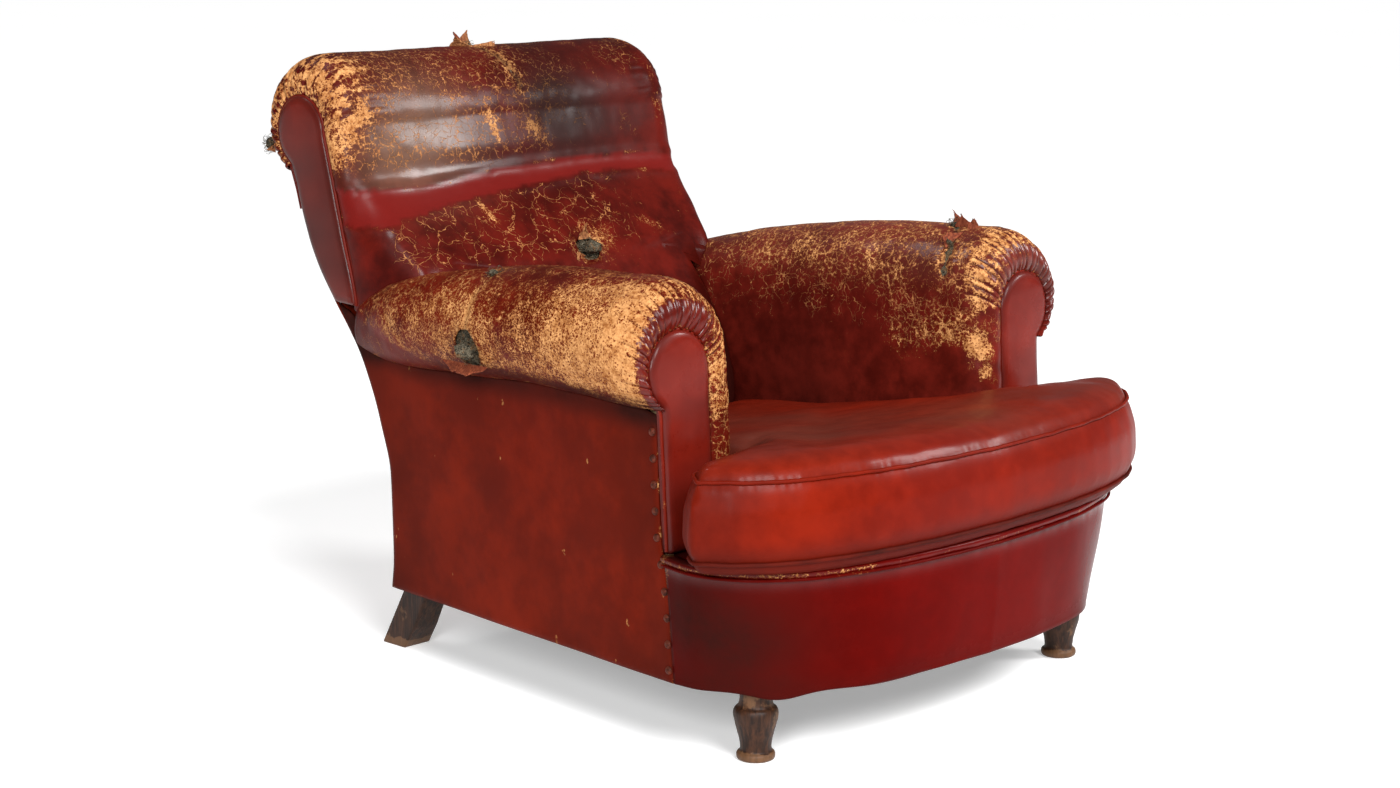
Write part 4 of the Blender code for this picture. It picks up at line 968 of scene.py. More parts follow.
def back_hide():
    """The inside back's leather and its wear, above and below the unworn band."""
    made = back_sheet()
    place = points_of(made)
    x, y, z = place.T
    inside = band_place(place)
    fresh = ramp(inside + 0.0035 * rough(place, 0.02, 3.0, 3), -0.002, 0.002)
    worn = 1 - fresh
    above, left = ramp(z, 0.655, 0.70), ramp(x, 0.12, -0.30)
    turn = BACK_HALF - BACK_TURN
    side = ramp(np.abs(x), turn + 0.020, BACK_HALF - 0.010)
    edge_wear = swell(inside, 0.001, 0.0045) * (y < 0.43)
    gathered = ramp(np.abs(x), turn - 0.020, turn) * raised_of(made) * ramp(z, 0.66, 0.70)
    bare = 0.08 + 0.08 * above + 0.12 * left * above + 0.45 * gathered
    bare += 0.24 * rough(place, 0.05, 31.0, 3)
    bare += 0.62 * edge_wear * (0.6 + 0.8 * rough(place, 0.05, 17.0, 2))
    bare += spots(place, [(TOP_TEAR, 0.016, 0.48),
                          ([(-0.065, 0.375, 0.775), (-0.050, 0.37, 0.715)], 0.010, 0.62),
                          ([(0.02, 0.37, 0.73), (0.045, 0.37, 0.70)], 0.014, 0.50),
                          ([(-0.135, 0.35, 0.648), (-0.115, 0.30, 0.60)], 0.006, 0.66),
                          ((0.055, 0.26, 0.575), 0.045, 0.40), (BACK_HOLE, 0.034, 0.44),
                          *[(spot, 0.010, 0.45) for spot in BUTTON_MARKS],
                          ([(0.12, 0.29, 0.60), (0.19, 0.27, 0.575)], 0.012, 0.40)])
    streaks = 0.45 + 2.2 * rough(place * (0.16, 1, 1), 0.009, 3.0, 3)
    corner = ramp(z, 0.700, 0.765) * ramp(y, 0.60, 0.52)
    bare += corner * (0.04 * ramp(x, -0.290, -0.312) + 0.48 * streaks * ramp(x, -0.240, -0.300))
    bare = bare * worn * (1 - 0.35 * ramp(y, 0.50, 0.55))
    lower = ramp(z, 0.53, 0.56) * ramp(z, 0.668, 0.652)
    cracks = 0.56 * above + 0.20 * lower + 0.34 * left * above + 0.25 * ramp(z, 0.77, 0.82)
    cracks = cracks * (0.62 + 0.38 * ramp(x, 0.16, 0.02)) + 0.40 * rough(place, 0.10, 40.0, 2)
    cracks += spots(place, [((0.0, 0.28, 0.59), 0.06, 0.30), (BACK_HOLE, 0.045, 0.4)])
    cracks = np.clip((cracks - 0.5 * side) * worn, 0, 1) * ramp(z, 0.50, 0.56)
    long = (0.85 * lower + 0.5 * above) * (0.4 + 0.6 * ramp(x, 0.20, 0.08)) * (1 - side)
    black = spots(place, [((0.085, 0.372, 0.745), 0.075, 0.85),
                          ((0.05, 0.38, 0.775), 0.06, 0.45), ((0.20, 0.37, 0.74), 0.10, 0.40),
                          (BACK_HOLE, 0.028, 0.35), (TOP_TEAR, 0.0045, 0.8),
                          *[(spot, 0.0035, 0.9) for spot in BUTTON_MARKS]])
    # Painted shade: darker below z 0.50, low between the arms and behind the cushion. Darker too
    # over the top of the roll.
    black += 0.55 * ramp(z, 0.50, 0.40) + 0.30 * ramp(z, 0.79, 0.84) - 0.6 * gathered
    # The rubbed patches on the left half are dulled leather and partly a painted sheen.
    rubbed = spots(place, [((-0.185, 0.372, 0.740), 0.085, 0.95),
                           ((-0.26, 0.37, 0.700), 0.06, 0.55)])
    shine = spots(place, [((-0.285, 0.280, 0.585), 0.035, 1.0), ((-0.17, 0.37, 0.73), 0.10, 0.45),
                          ((-0.20, 0.345, 0.65), 0.07, 0.45), ((0.13, 0.37, 0.76), 0.09, 0.25)])
    paint(made, bare=bare + 0.16 * side * above * ramp(x, 0.1, -0.1), cracks=cracks,
          long=long * worn, stain=np.clip(black, 0, 1) * worn, rub=rubbed * worn,
          fresh=0.85 * fresh, polish=shine)
    settle(made, "back_leather", BACK, ["back_cover"])


# Facings: a padded scroll with a cord sewn round it.

def inward(outline):
    """Unit directions into a closed outline (a, b)."""
    slope = np.roll(outline, -1, axis=0) - np.roll(outline, 1, axis=0)
    slope /= np.maximum(np.linalg.norm(slope, axis=1, keepdims=True), 1e-9)
    x, y = outline.T
    area = np.sum(x * np.roll(y, -1) - np.roll(x, -1) * y)
    return np.stack([-slope[:, 1], slope[:, 0]], axis=1) * np.sign(area)


def resample(outline, step):
    """The closed outline with its points evenly spaced."""
    ring = np.vstack([outline, outline[:1]])
    reach = np.concatenate([[0], np.cumsum(np.linalg.norm(np.diff(ring, axis=0), axis=1))])
    marks = np.linspace(0, reach[-1], int(reach[-1] / step), endpoint=False)
    return np.stack([np.interp(marks, reach, ring[:, c]) for c in range(2)], axis=1)


def rounded(outline, step, times):
    """The outline with evenly spaced points and its corners eased."""
    return eased(resample(outline, step), times)


def padded_plate(name, outline, place, rise):
    """A pad over a flat outline: place(a, b, height) gives its points."""
    aim = inward(outline)
    steps = [(0.0, -0.004), (0.0, 0.0), (0.0008, rise * 0.42), (0.0022, rise * 0.72),
             (0.0060, rise * 0.92), (0.0126, rise)]
    bm = bmesh.new()
    rings = [[bm.verts.new(place(*(p + n * inset), height)) for p, n in zip(outline, aim)]
             for inset, height in steps]
    join_rings(bm, rings)
    bm.faces.new(rings[0][::-1])
    bmesh.ops.triangle_fill(bm, use_beauty=True, edges=[e for e in bm.edges if e.is_boundary])
    bmesh.ops.recalc_face_normals(bm, faces=bm.faces)
    return piece(name, bm, 80.0)


def arm_facings():
    lift, grow, bottom = 0.0115, 0.0004, BORDER_TOP + 0.003
    outline = arm_facing_outline(6, 61, -grow)
    outline = outline[outline[:, 1] > bottom]
    outline = np.vstack([[(ARM_EYE[0] - ARM_EYE_R - grow, bottom)], outline,
                         [(ARM_NECK_OUTER - grow, bottom)]])
    ring = rounded(outline, 0.0035, 3)
    for side in (-1, 1):

        def on_face(a, b, height):
            y = ARM_FACE_Y + ARM_RAKE * (b - ARM_EYE[1]) - 0.0006
            dent = 0.0010 * noise.noise(Vector((a, 0.1 * side, b)) * 28)
            return side * a, y - height - dent * (height > 0.003), b

        pad = padded_plate(label("arm_facing_pad", side), ring, on_face, lift)
        place = points_of(pad)
        z = place[:, 2]
        rim = nearest(place[:, [0, 2]], mirrored(ring, side))
        rubbed = ramp(rim, 0.010, 0.002) * (0.35 + 0.4 * rough(place, 0.03, 5.0, 2))
        # Painted shade: dark is darker towards the cord and towards the bottom of the facing; the
        # noise added to it is uneven staining.
        dark = 0.40 * ramp(z, 0.40, 0.27) + 0.45 * ramp(rim, 0.016, 0.001)
        paint(pad, bare=0.55 * np.clip(rubbed * ramp(z, 0.30, 0.36), 0, 1), cracks=0.12,
              fresh=0.22, stain=dark + 0.5 * rough(place, 0.06, 2.0, 2), polish=0.30)
        settle(pad, "panel_leather", PAD_HIDE, [label("arm_facing", side)])
        open_ring = ring[ring[:, 1] > bottom + 0.004]
        steps = np.linalg.norm(open_ring - np.roll(open_ring, 1, axis=0), axis=1)
        run = np.roll(open_ring, -np.argmax(steps), axis=0)
        sew_cord(label("arm_facing_piping", side), [on_face(a, b, 0.0034) for a, b in run],
                 "panel_leather", PAD_HIDE, (0.16, 0.3, 0.02, 7.0, 0.6), radius=0.0026)


def back_facings():
    half = BACK_HALF - 0.0034
    front = [(y + 0.001, z) for y, z in spline(BACK_FACE_EDGE, 24)][:-1]
    eye = arc(BACK_EYE, (BACK_EYE_R - 0.0002, BACK_EYE_R - 0.0002), 180, -62, 61)
    heights = np.linspace(0.655, BACK_FACE_EDGE[0][1] + 0.002, 20)
    rear = [(rear_y(z) - 0.006, z) for z in heights]
    ring = rounded(np.array([*front, *eye, *rear]), 0.0035, 3)
    for side in (-1, 1):

        def on_side(y, z, height):
            dent = 0.0010 * noise.noise(Vector((0.2 * side, y, z)) * 25)
            return side * (half + height * 0.9 + dent * (height > 0.003)), y, z

        pad = padded_plate(label("back_facing_pad", side), ring, on_side, 0.0095)
        place = points_of(pad)
        rim = nearest(place[:, 1:], ring)
        rubbed = ramp(rim, 0.008, 0.001) * (0.3 + 0.5 * rough(place, 0.03, 5.0, 2))
        # Painted shade towards the cord; the rest of dark is the facing's own darker tone and
        # uneven staining.
        dark = 0.42 + 0.35 * ramp(rim, 0.020, 0.001) + 0.4 * rough(place, 0.08, 2.0, 2)
        paint(pad, bare=0.4 * np.clip(rubbed, 0, 1), cracks=0.10, fresh=0.05, stain=dark,
              polish=0.35)
        settle(pad, "back_leather", PAD_HIDE, [label("back_facing", side)])
        for name, grow, height in (("piping", 0.0, 0.0030), ("outer_piping", -0.0058, 0.0006)):
            run = ring + inward(ring) * grow
            run = run[: int(len(run) * 0.74)]
            sew_cord(label("back_facing_" + name, side), [on_side(y, z, height) for y, z in run],
                     "back_leather", PAD_HIDE, (0.10, 0.3, 0.02, 7.0, 0.6), (0.35,))


# Outside: side panels with their nails, the outside back and the front border.

PANEL_ROWS, PANEL_COLUMNS = 76, 120


def panel_grid(side):
    """The outside arm: up from the bottom edge to the roll and the back, front edge to rear."""
    under_roll = [(y, arm_section(y, 2, 3)[-1][1] + 0.001) for y in np.linspace(-0.27, 0.25, 30)]
    top = np.array([(-0.2945, 0.436), *under_roll, (0.29, 0.437), (0.33, 0.455), (0.362, 0.472),
                    (0.385, 0.485), (0.412, 0.4925)])
    along, rising = np.linspace(0, 1, PANEL_COLUMNS), np.linspace(0, 1, PANEL_ROWS)
    top_y = top[0, 0] + (top[-1, 0] - top[0, 0]) * along
    top_z = np.interp(top_y, *top.T)

    def between_edges(z):
        return value_at(PANEL_EDGE, z) * (1 - along) + rear_y(z) * along

    rows = []
    for t in rising:
        z = BASE_Z + (top_z - BASE_Z) * t
        y = between_edges(z) + (top_y - between_edges(top_z)) * t**3
        rows.append(np.stack([side_x(y), y, z], axis=1))
    grid = np.array(rows)
    rim = np.minimum(np.minimum(along, 1 - along)[None] * 0.66, rising[:, None] * 0.36)
    grid[..., 0] += 0.0012 * rough(grid, 0.14, 4.0 + side, 2) - 0.0016 * np.exp(-rim / 0.0028)
    return mirrored(grid, side), top


def side_nails(side):
    bm = bmesh.new()
    for z in np.linspace(NAIL_FIRST, NAIL_LAST, NAIL_COUNT):
        y = float(value_at(PANEL_EDGE, z)) + NAIL_R + 0.0006
        made = bmesh.ops.create_uvsphere(bm, u_segments=18, v_segments=10, radius=NAIL_R)
        for vert in made["verts"]:
            vert.co.x *= 0.62
            vert.co += Vector((side * (side_x(y) + 0.0002), y, z))
    settle(piece(label("side_nails", side), bm), "panel_leather", NAIL)


def side_panels():
    for side in (-1, 1):
        grid, top = panel_grid(side)
        panel = sheet_of(label("side_panel_hide", side), grid, np.array((side, 0, 0)),
                         PANEL - 0.0012)
        place = points_of(panel)
        y, z = place.T[1:]
        to_front, behind = y - value_at(PANEL_EDGE, z), rear_y(z) - y
        bare = 0.60 * ramp(to_front, 0.006, 0.001) + 0.42 * ramp(z, BASE_Z + 0.010, BASE_Z)
        bare = bare + 0.50 * ramp(behind, 0.009, 0.0) * ramp(z, 0.47, 0.40)
        bare = bare * (0.60 + 1.1 * rough(place, 0.03, 5.0 + side, 2))
        # Painted shade: shade is the roll's shadow on the panel, stored with the stains.
        shade = ramp(np.minimum(np.interp(y, *top.T), 0.437) - z, 0.034, 0.001)
        dull = 0.30 * ramp(to_front, 0.09, 0.0) + 0.25 * ramp(behind, 0.10, 0.0)
        dull += 0.22 * ramp(z, 0.17, BASE_Z) + 0.35 * rough(place, 0.16, 8.0 + side, 2)
        paint(panel, bare=np.minimum(bare, 0.85), stain=0.80 * shade + dull,
              fresh=0.10 * spots(place, [((side * 0.37, -0.05, 0.33), 0.16, 1.0)]))
        settle(panel, "panel_leather", SIDE, [label("side_panel", side)])
        side_nails(side)


def rear_hide():
    """The leather over the rear, with a cord sewn down each side."""
    high = 0.655
    us = np.linspace(-1, 1, 96)
    grid, cords = [], []
    for z in np.linspace(BASE_Z, high, 110):
        y = float(rear_y(z))
        half = min(side_x(y) - PANEL + 0.0030, BACK_HALF - 0.0094) - GAP
        grid.append([(u * half, y + 0.006 * (1 - u * u), z) for u in us])
        cords.append((half + 0.0015, y + 0.0015, z))
    grid = np.array(grid)
    normal = grid_normals(grid, (0, 0, high / 2))
    grid = grid + normal * (0.0022 * rough(grid, 0.16, 14.0, 2) - 0.0008)[..., None]
    made = sheet_of("outside_back_hide", grid, normal, PANEL - 0.0010)
    place = points_of(made)
    z = place[:, 2]
    bare = 0.30 * ramp(z, BASE_Z + 0.012, BASE_Z) + 0.20 * ramp(z, 0.63, high)
    bare += 0.10 * rough(place, 0.05, 3.0, 3)
    dark = 0.22 + 0.15 * ramp(z, 0.2, BASE_Z) + 0.4 * rough(place, 0.15, 6.0, 2)
    paint(made, bare=np.minimum(bare, 0.7), cracks=0.25 * ramp(z, 0.52, 0.64), stain=dark)
    settle(made, "panel_leather", SIDE, ["outside_back"])
    for side in (-1, 1):
        sew_cord(label("outside_back_piping", side), mirrored(cords, side), "panel_leather", SIDE,
                 (0.18, 0.45, 0.03, 2.0, 0.7), (0.35,))


def corner_drop(x, z):
    """How much lower the border's bottom edge lies where it passes over a front leg."""
    return CORNER_DROP * swell(np.abs(x), FRONT_LEG[0], 0.030) * max(0.0, 1 - (z - BASE_Z) / 0.036)


def border_hide():
    """The bowed border: rolled over at the top, turned under at the bottom."""
    turned_under = [(BASE_Z + 0.003, 0.012), (BASE_Z, 0.008), (BASE_Z - 0.0008, 0.003),
                    (BASE_Z + 0.001, 0.0004)]
    bowed = [(z, 0.0012 - 0.003 * math.sin(math.pi * (z - BASE_Z) / 0.155))
             for z in np.linspace(BASE_Z + 0.006, 0.246, 34)]
    rolled_over = [(0.2500, -0.0016), (0.2535, -0.0030), (0.2570, -0.0026), (0.2592, 0.0000),
                   (0.2596, 0.0040), (0.2580, 0.0100), (0.2570, 0.0180)]
    grid = []
    for z, lean in turned_under + bowed + rolled_over:
        plan = both_sides(border_curve(z, lean, 110))
        grid.append(np.stack([plan[:, 0], plan[:, 1], z - corner_drop(plan[:, 0], z)], axis=1))
    grid = np.array(grid)
    normal = grid_normals(grid, (0, -0.2, 0.18))
    puckers = swell(grid[..., 2], 0.243, 0.010) * rough(grid * (1, 1, 0.3), 0.020, 4.0, 2)
    wave = 0.0014 * rough(grid, 0.13, 7.0, 2) + 0.0010 * puckers
    grid = grid + normal * wave[..., None]
    made = sheet_of("front_border_hide", grid, normal)
    place = points_of(made)
    x, y, z = place.T
    top = swell(z, 0.253, 0.0045)
    bare = top * (0.28 + 0.75 * rough(place, 0.05, 9.0, 2) + 0.30 * ramp(x, -0.1, -0.35))
    bare += 0.55 * ramp(y, -0.326, -0.318) + 0.12 * ramp(z, BASE_Z + 0.01, BASE_Z)
    # Painted shade at the border's ends, darkest at the left, and over the top of the roll under
    # the cushion's edge; darker too towards the bottom.
    dark = spots(place, [((-0.36, -0.42, 0.16), 0.10, 0.75), ((-0.385, -0.345, 0.20), 0.06, 0.45),
                         ((0.36, -0.43, 0.13), 0.09, 0.35)])
    paint(made, bare=np.minimum(bare, 0.62), cracks=0.5 * top,
          stain=dark + 0.25 * ramp(z, 0.130, BASE_Z) + 0.5 * ramp(z, 0.2575, 0.2590),
          fresh=0.25 * spots(place, [((0.05, -0.54, 0.19), 0.20, 1.0)]),
          polish=0.7 * swell(z, 0.246, 0.010))
    settle(made, "border_leather", BORDER, ["front_border"])
    seam = both_sides(border_curve(0.247, -0.0026, 110))
    sew_cord("front_border_piping", [(x, y, 0.2475) for x, y in seam], "border_leather", BORDER,
             (0.18, 0.5, 0.05, 9.0, 0.55), (0.2,), radius=0.0022)


def border_tucks():
    """The border's ends, tucked in behind the cushion beside each front post."""
    for side in (-1, 1):
        bm = bmesh.new()
        bmesh.ops.create_grid(bm, x_segments=8, y_segments=8, size=0.5)
        for vert in bm.verts:
            u, v = vert.co.x, vert.co.y
            vert.co = Vector((side * (0.343 + 0.050 * u), -0.3105 + 0.002 * v, 0.238 + 0.056 * v))
        tuck = piece(label("front_border_tuck", side), bm)
        # Painted shade: the tucks are darkened as the shaded gap behind the cushion.
        paint(tuck, stain=0.7)
        settle(tuck, "border_leather", BORDER)


def underside_cloth():
    """The black cloth tacked under the seat, out to the panels and the border."""
    half = np.array([(0.3305, 0.283), (0.3830, -0.318), (0.3780, -0.362), (0.3540, -0.400),
                     (0.3100, -0.445), (0.2000, -0.492), (0.0, -0.512)])
    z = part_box("dust_cover")[1].z + 0.0004
    bm = bmesh.new()
    rings = [[bm.verts.new((x, y, level)) for x, y in both_sides(half)]
             for level in (z, z + 0.0010)]
    join_rings(bm, rings)
    bm.faces.new(rings[0])
    bm.faces.new(rings[1])
    bmesh.ops.recalc_face_normals(bm, faces=bm.faces)
    bmesh.ops.triangulate(bm, faces=bm.faces)
    settle(piece("underside_cloth", bm), "black_cloth", LINING)


# The loose cushion.

CUSHION_LIFT = 0.0034
CUSHION_SWELL, CUSHION_AIR, CUSHION_FRAMES = 0.007, 4.0, 20


def welded(name):
    """A solid of the frame, its doubled points welded."""
    bm = bmesh.new()
    bm.from_mesh(frame["nodes"][name].data)
    for face in bm.faces:
        face.material_index = 0
    bmesh.ops.remove_doubles(bm, verts=bm.verts, dist=1e-5)
    return bm


def keep_shape(obj):
    """Gives an object the mesh that its modifiers make of it."""
    graph = bpy.context.evaluated_depsgraph_get()
    mesh = bpy.data.meshes.new_from_object(obj.evaluated_get(graph))
    obj.modifiers.clear()
    obj.data = mesh
    mesh.name = obj.name


def pressed(obj):
    """Fills a cushion with air under its cover; each point stays near its place."""
    bpy.context.view_layer.objects.active = obj
    before = points_of(obj)
    cloth = obj.modifiers.new("cover", "CLOTH")
    cloth.settings.use_pressure = True
    cloth.settings.uniform_pressure_force = CUSHION_AIR
    cloth.settings.effector_weights.gravity = 0.0
    cloth.settings.quality = 5
    cloth.settings.mass = 0.3
    cloth.point_cache.frame_start, cloth.point_cache.frame_end = 1, CUSHION_FRAMES
    scene = bpy.context.scene
    for number in range(1, CUSHION_FRAMES + 1):
        scene.frame_set(number)
    move = points_of(obj.evaluated_get(bpy.context.evaluated_depsgraph_get())) - before
    obj.modifiers.remove(cloth)
    scene.frame_set(1)
    far = np.linalg.norm(move, axis=1, keepdims=True)
    move_points(obj, before + move * np.minimum(far, CUSHION_SWELL) / np.maximum(far, 1e-9))


def cushion_edge():
    """The cushion's plan, counter-clockwise, as points (x, y)."""
    wide = spline(CUSHION_PLAN, 90)
    inner = ARM_INNER - 0.0110
    body = [(inner, -0.300), (inner, -0.07), (inner, CUSHION_REAR - 0.03),
            (inner - 0.02, CUSHION_REAR - 0.004), (inner - 0.05, CUSHION_REAR),
            (0.0, CUSHION_REAR)]
    half = np.concatenate([wide, body])
    ring = np.concatenate([half, (half[1:-1] * [-1, 1])[::-1]])
    return rounded(ring, 0.006, 4)


def cushion_levels(y):
    """The heights of the cushion's underside and top at y."""
    return deck_z(y) + CUSHION_LIFT, value_at(CUSHION_TOP, y)


def cushion_cover():
    """The cushion's solid, remeshed in small faces and filled with air."""
    bm = welded("seat_cushion")
    bmesh.ops.recalc_face_normals(bm, faces=bm.faces)
    obj = piece("seat_cushion_cover", bm)
    remesh = obj.modifiers.new("remesh", "REMESH")
    remesh.mode, remesh.voxel_size = "VOXEL", 0.0085
    keep_shape(obj)
    pressed(obj)
    subdivide = obj.modifiers.new("subdivide", "SUBSURF")
    subdivide.levels = subdivide.render_levels = 1
    keep_shape(obj)
    obj.data.shade_smooth()
    return obj


def pinch(obj, run, depth, width):
    """Draws a cover in along a seam."""
    place = points_of(obj)
    normals = np.empty(len(place) * 3, np.float32)
    obj.data.vertex_normals.foreach_get("vector", normals)
    drawn = depth * swell(nearest(place, run[::2]), 0, width)
    move_points(obj, place - normals.reshape(-1, 3) * drawn[:, None])


def cushion():
    """The cover with its dips, the cords along its two seams, and its wear."""
    obj = cushion_cover()
    edge = cushion_edge()
    place = points_of(obj)
    low, high = cushion_levels(place[:, 1])
    share = (place[:, 2] - low) / (high - low)
    from_edge = nearest(place[:, :2], edge[::2])
    onto = ramp(share, 0.72, 0.95)
    dips = 0.0024 * rough(place * (1, 1, 0.2), 0.17, 3.0, 2) + 0.00064 * rough(place, 0.04, 8.0, 2)
    ears = spots(place, [((-0.33, -0.44, 0.39), 0.10, 1.0), ((0.33, -0.44, 0.39), 0.10, 1.0)])
    puckers = 0.0008 * rough(place * (1, 1, 0.15), 0.018, 1.0, 2) * ramp(from_edge, 0.030, 0.008)
    place[:, 2] += (dips - 0.004 * ramp(from_edge, 0.02, 0.12) * (1 - ears) + puckers) * onto
    move_points(obj, place)

    surface = BVHTree.FromObject(obj, bpy.context.evaluated_depsgraph_get())
    # The bottom cord's dark is painted shade under the cushion's edge.
    for name, level, dark in (("top", 0.93, 0.10), ("bottom", 0.10, 0.65)):
        run = []
        for x, y in edge:
            low, high = cushion_levels(y)
            near, aim, _, _ = surface.find_nearest(Vector((x, y, low + (high - low) * level)))
            run.append(near + aim * 0.0008)
        run = eased(np.array(run), 2)
        pinch(obj, run, 0.0016, 0.010)
        sew_cord(f"seat_cushion_{name}_piping", run, "cushion_leather", CUSHION,
                 (0.06, 0.25, 0.03, 2.0, 0.5), (dark, 0.3, 0.05, 5.0), 0.0026, closed=True)
    place = points_of(obj)
    brown = spots(place, [((0.02, -0.47, 0.39), 0.075, 0.70), ((0.16, -0.42, 0.385), 0.09, 0.55),
                          ((-0.14, -0.42, 0.385), 0.07, 0.45), ((0.30, -0.45, 0.385), 0.07, 0.45),
                          ((0.0, -0.28, 0.36), 0.13, 0.40), ((0.38, -0.43, 0.38), 0.04, 0.6),
                          ((0.0, -0.05, 0.33), 0.16, 0.55), ((-0.22, -0.30, 0.365), 0.15, 0.80)])
    brown = np.clip(brown * onto * (0.8 + 0.5 * rough(place, 0.12, 12.0, 2)), 0, 1)
    # Painted shade: dark grows towards the cushion's underside; darker too at the left end.
    dark = 0.55 * ramp(share, 0.40, 0.02)
    dark += 0.30 * spots(place, [((-0.43, -0.42, 0.33), 0.06, 1.0)])
    paint(obj, stain=dark + 0.42 * brown, rub=0.42 * brown, polish=0.22 * onto,
          fresh=0.30 * spots(place, [((-0.10, -0.56, 0.33), 0.17, 1.0),
                                     ((0.25, -0.53, 0.33), 0.14, 0.8)]))
    settle(obj, "cushion_leather", CUSHION, ["seat_cushion"])


# Legs.

def front_legs():
    """Turned legs: a ring above the sole, a swelling stem and a neck."""
    turning = [(0.0205, 0.0), (0.0236, 0.0012), (0.0247, 0.0040), (0.0247, 0.0072),
               (0.0236, 0.0096), (0.0208, 0.0118), (0.0200, 0.0150), (0.0203, 0.0210),
               (0.0235, 0.0360), (0.0275, 0.0510), (0.0287, 0.0580), (0.0286, 0.0630),
               (0.0268, 0.0675), (0.0228, 0.0705), (0.0212, 0.0760), (0.0212, 0.0960)]
    profile = spline(turning, 60)
    profile[:, 0] = np.clip(profile[:, 0], 0.0195, 0.0288)
    rings = [[(a, b, z) for a, b in arc(FRONT_LEG, (radius, radius), 0, 354, 60)]
             for radius, z in profile]
    for side in (-1, 1):
        grid = mirrored(rings, side)
        out = (grid - (side * FRONT_LEG[0], FRONT_LEG[1], 0.0)) * (1, 1, 0)
        out /= np.linalg.norm(out, axis=2, keepdims=True)
        grid = grid + out * (0.0004 * rough(grid, 0.008, 2.0 * side, 2))[..., None]
        bm = bmesh.new()
        rows = [[bm.verts.new(p) for p in row] for row in grid]
        join_rings(bm, rows)
        bm.faces.new(rows[0])
        bm.faces.new(rows[-1])
        bmesh.ops.recalc_face_normals(bm, faces=bm.faces)
        leg = piece(label("front_leg_turned", side), bm)
        z = points_of(leg)[:, 2]
        paint(leg, most=1.5, bare=(1.5 * swell(z, 0.0055, 0.0045)
                                   + 0.25 * ramp(z, 0.066, 0.074) + 0.1))
        settle(leg, "leg_wood", LEG, [label("front_leg", side)])


def rear_legs():
    """The solids with their edges rounded, and small faces near the foot, where wear shows."""
    for side in (-1, 1):
        bm = welded(label("rear_leg", side))
        bmesh.ops.dissolve_limit(bm, angle_limit=math.radians(3), verts=bm.verts, edges=bm.edges)
        bmesh.ops.bevel(bm, geom=[e for e in bm.edges if e.calc_face_angle(0) > 0.7],
                        offset=0.0022, segments=3, affect="EDGES", profile=0.5)
        bmesh.ops.triangulate(bm, faces=bm.faces)
        for _ in range(3):
            long = [edge for edge in bm.edges if edge.calc_length() > 0.008
                    and min(vert.co.z for vert in edge.verts) < 0.12]
            bmesh.ops.subdivide_edges(bm, edges=long, cuts=1)
            bmesh.ops.triangulate(bm, faces=bm.faces)
        bm.normal_update()
        leg = piece(label("rear_leg_sawn", side), bm, 30.0)
        y, z = points_of(leg).T[1:]
        paint(leg, most=1.3, bare=(ramp(z, 0.020, 0.004) * (0.75 + 0.5 * ramp(y, 0.315, 0.305))
                                   + 0.25 * ramp(z, 0.07, 0.09)))
        settle(leg, "leg_wood", LEG, [label("rear_leg", side)])


# Torn places: curled horsehair, and flaps of hide with their flesh side out.

def hair_clump(name, centre, size, turn, strands, seed):
    """A matted lump of hair with loose strands that curl out of it."""
    rng = np.random.default_rng(seed)
    bm = bmesh.new()
    bmesh.ops.create_icosphere(bm, subdivisions=5, radius=1.0)
    spin = Matrix.Rotation(turn, 3, "Y")

    def on_lump(unit, shape=1.0):
        return Vector(centre) + spin @ Vector([unit[k] * size[k] * shape * 0.9 for k in range(3)])

    for vert in bm.verts:
        unit = vert.co.normalized()
        shape = 1 + 0.20 * noise.fractal(unit * 2.4 + Vector((seed, 0, 0)), 0.6, 2.0, 3)
        shape += 0.16 * noise.turbulence(unit * 5.5 + Vector((0, seed, 0)), 3, False)
        vert.co = on_lump(unit, shape)
    for _ in range(strands):
        unit = Vector(rng.normal(size=3)).normalized()
        bend = Vector(rng.normal(size=3)).normalized()
        bend = (bend - unit * bend.dot(unit)).normalized()
        side = unit.cross(bend)
        radius, turns = rng.uniform(0.002, 0.0055), rng.uniform(0.35, 0.95)
        points = []
        for t in np.linspace(0, 1, 9):
            angle = 2 * math.pi * turns * t
            curl = bend * math.sin(angle) + unit * (1 - math.cos(angle))
            points.append(on_lump(unit) - unit * 0.0015 + curl * radius
                          + side * 0.004 * t * rng.uniform(0.5, 1))
        strand(bm, points, 0.00034)
    settle(piece(name, bm), "horsehair", HAIR)


def strand(bm, points, radius):
    """A three-sided hair that tapers at both ends."""
    rings = []
    for k, p in enumerate(points):
        ahead = points[min(k + 1, len(points) - 1)] - points[max(k - 1, 0)]
        across = ahead.cross(Vector((0.3, 0.2, 0.9))).normalized()
        up = ahead.cross(across).normalized()
        thin = radius * (0.45 + 0.55 * math.sin(math.pi * (k + 0.5) / len(points)))
        rings.append([bm.verts.new(p + thin * (math.cos(a) * across + math.sin(a) * up))
                      for a in (0, 2 * math.pi / 3, 4 * math.pi / 3)])
    join_rings(bm, rings)
    bm.faces.new(rings[0][::-1])
    bm.faces.new(rings[-1])


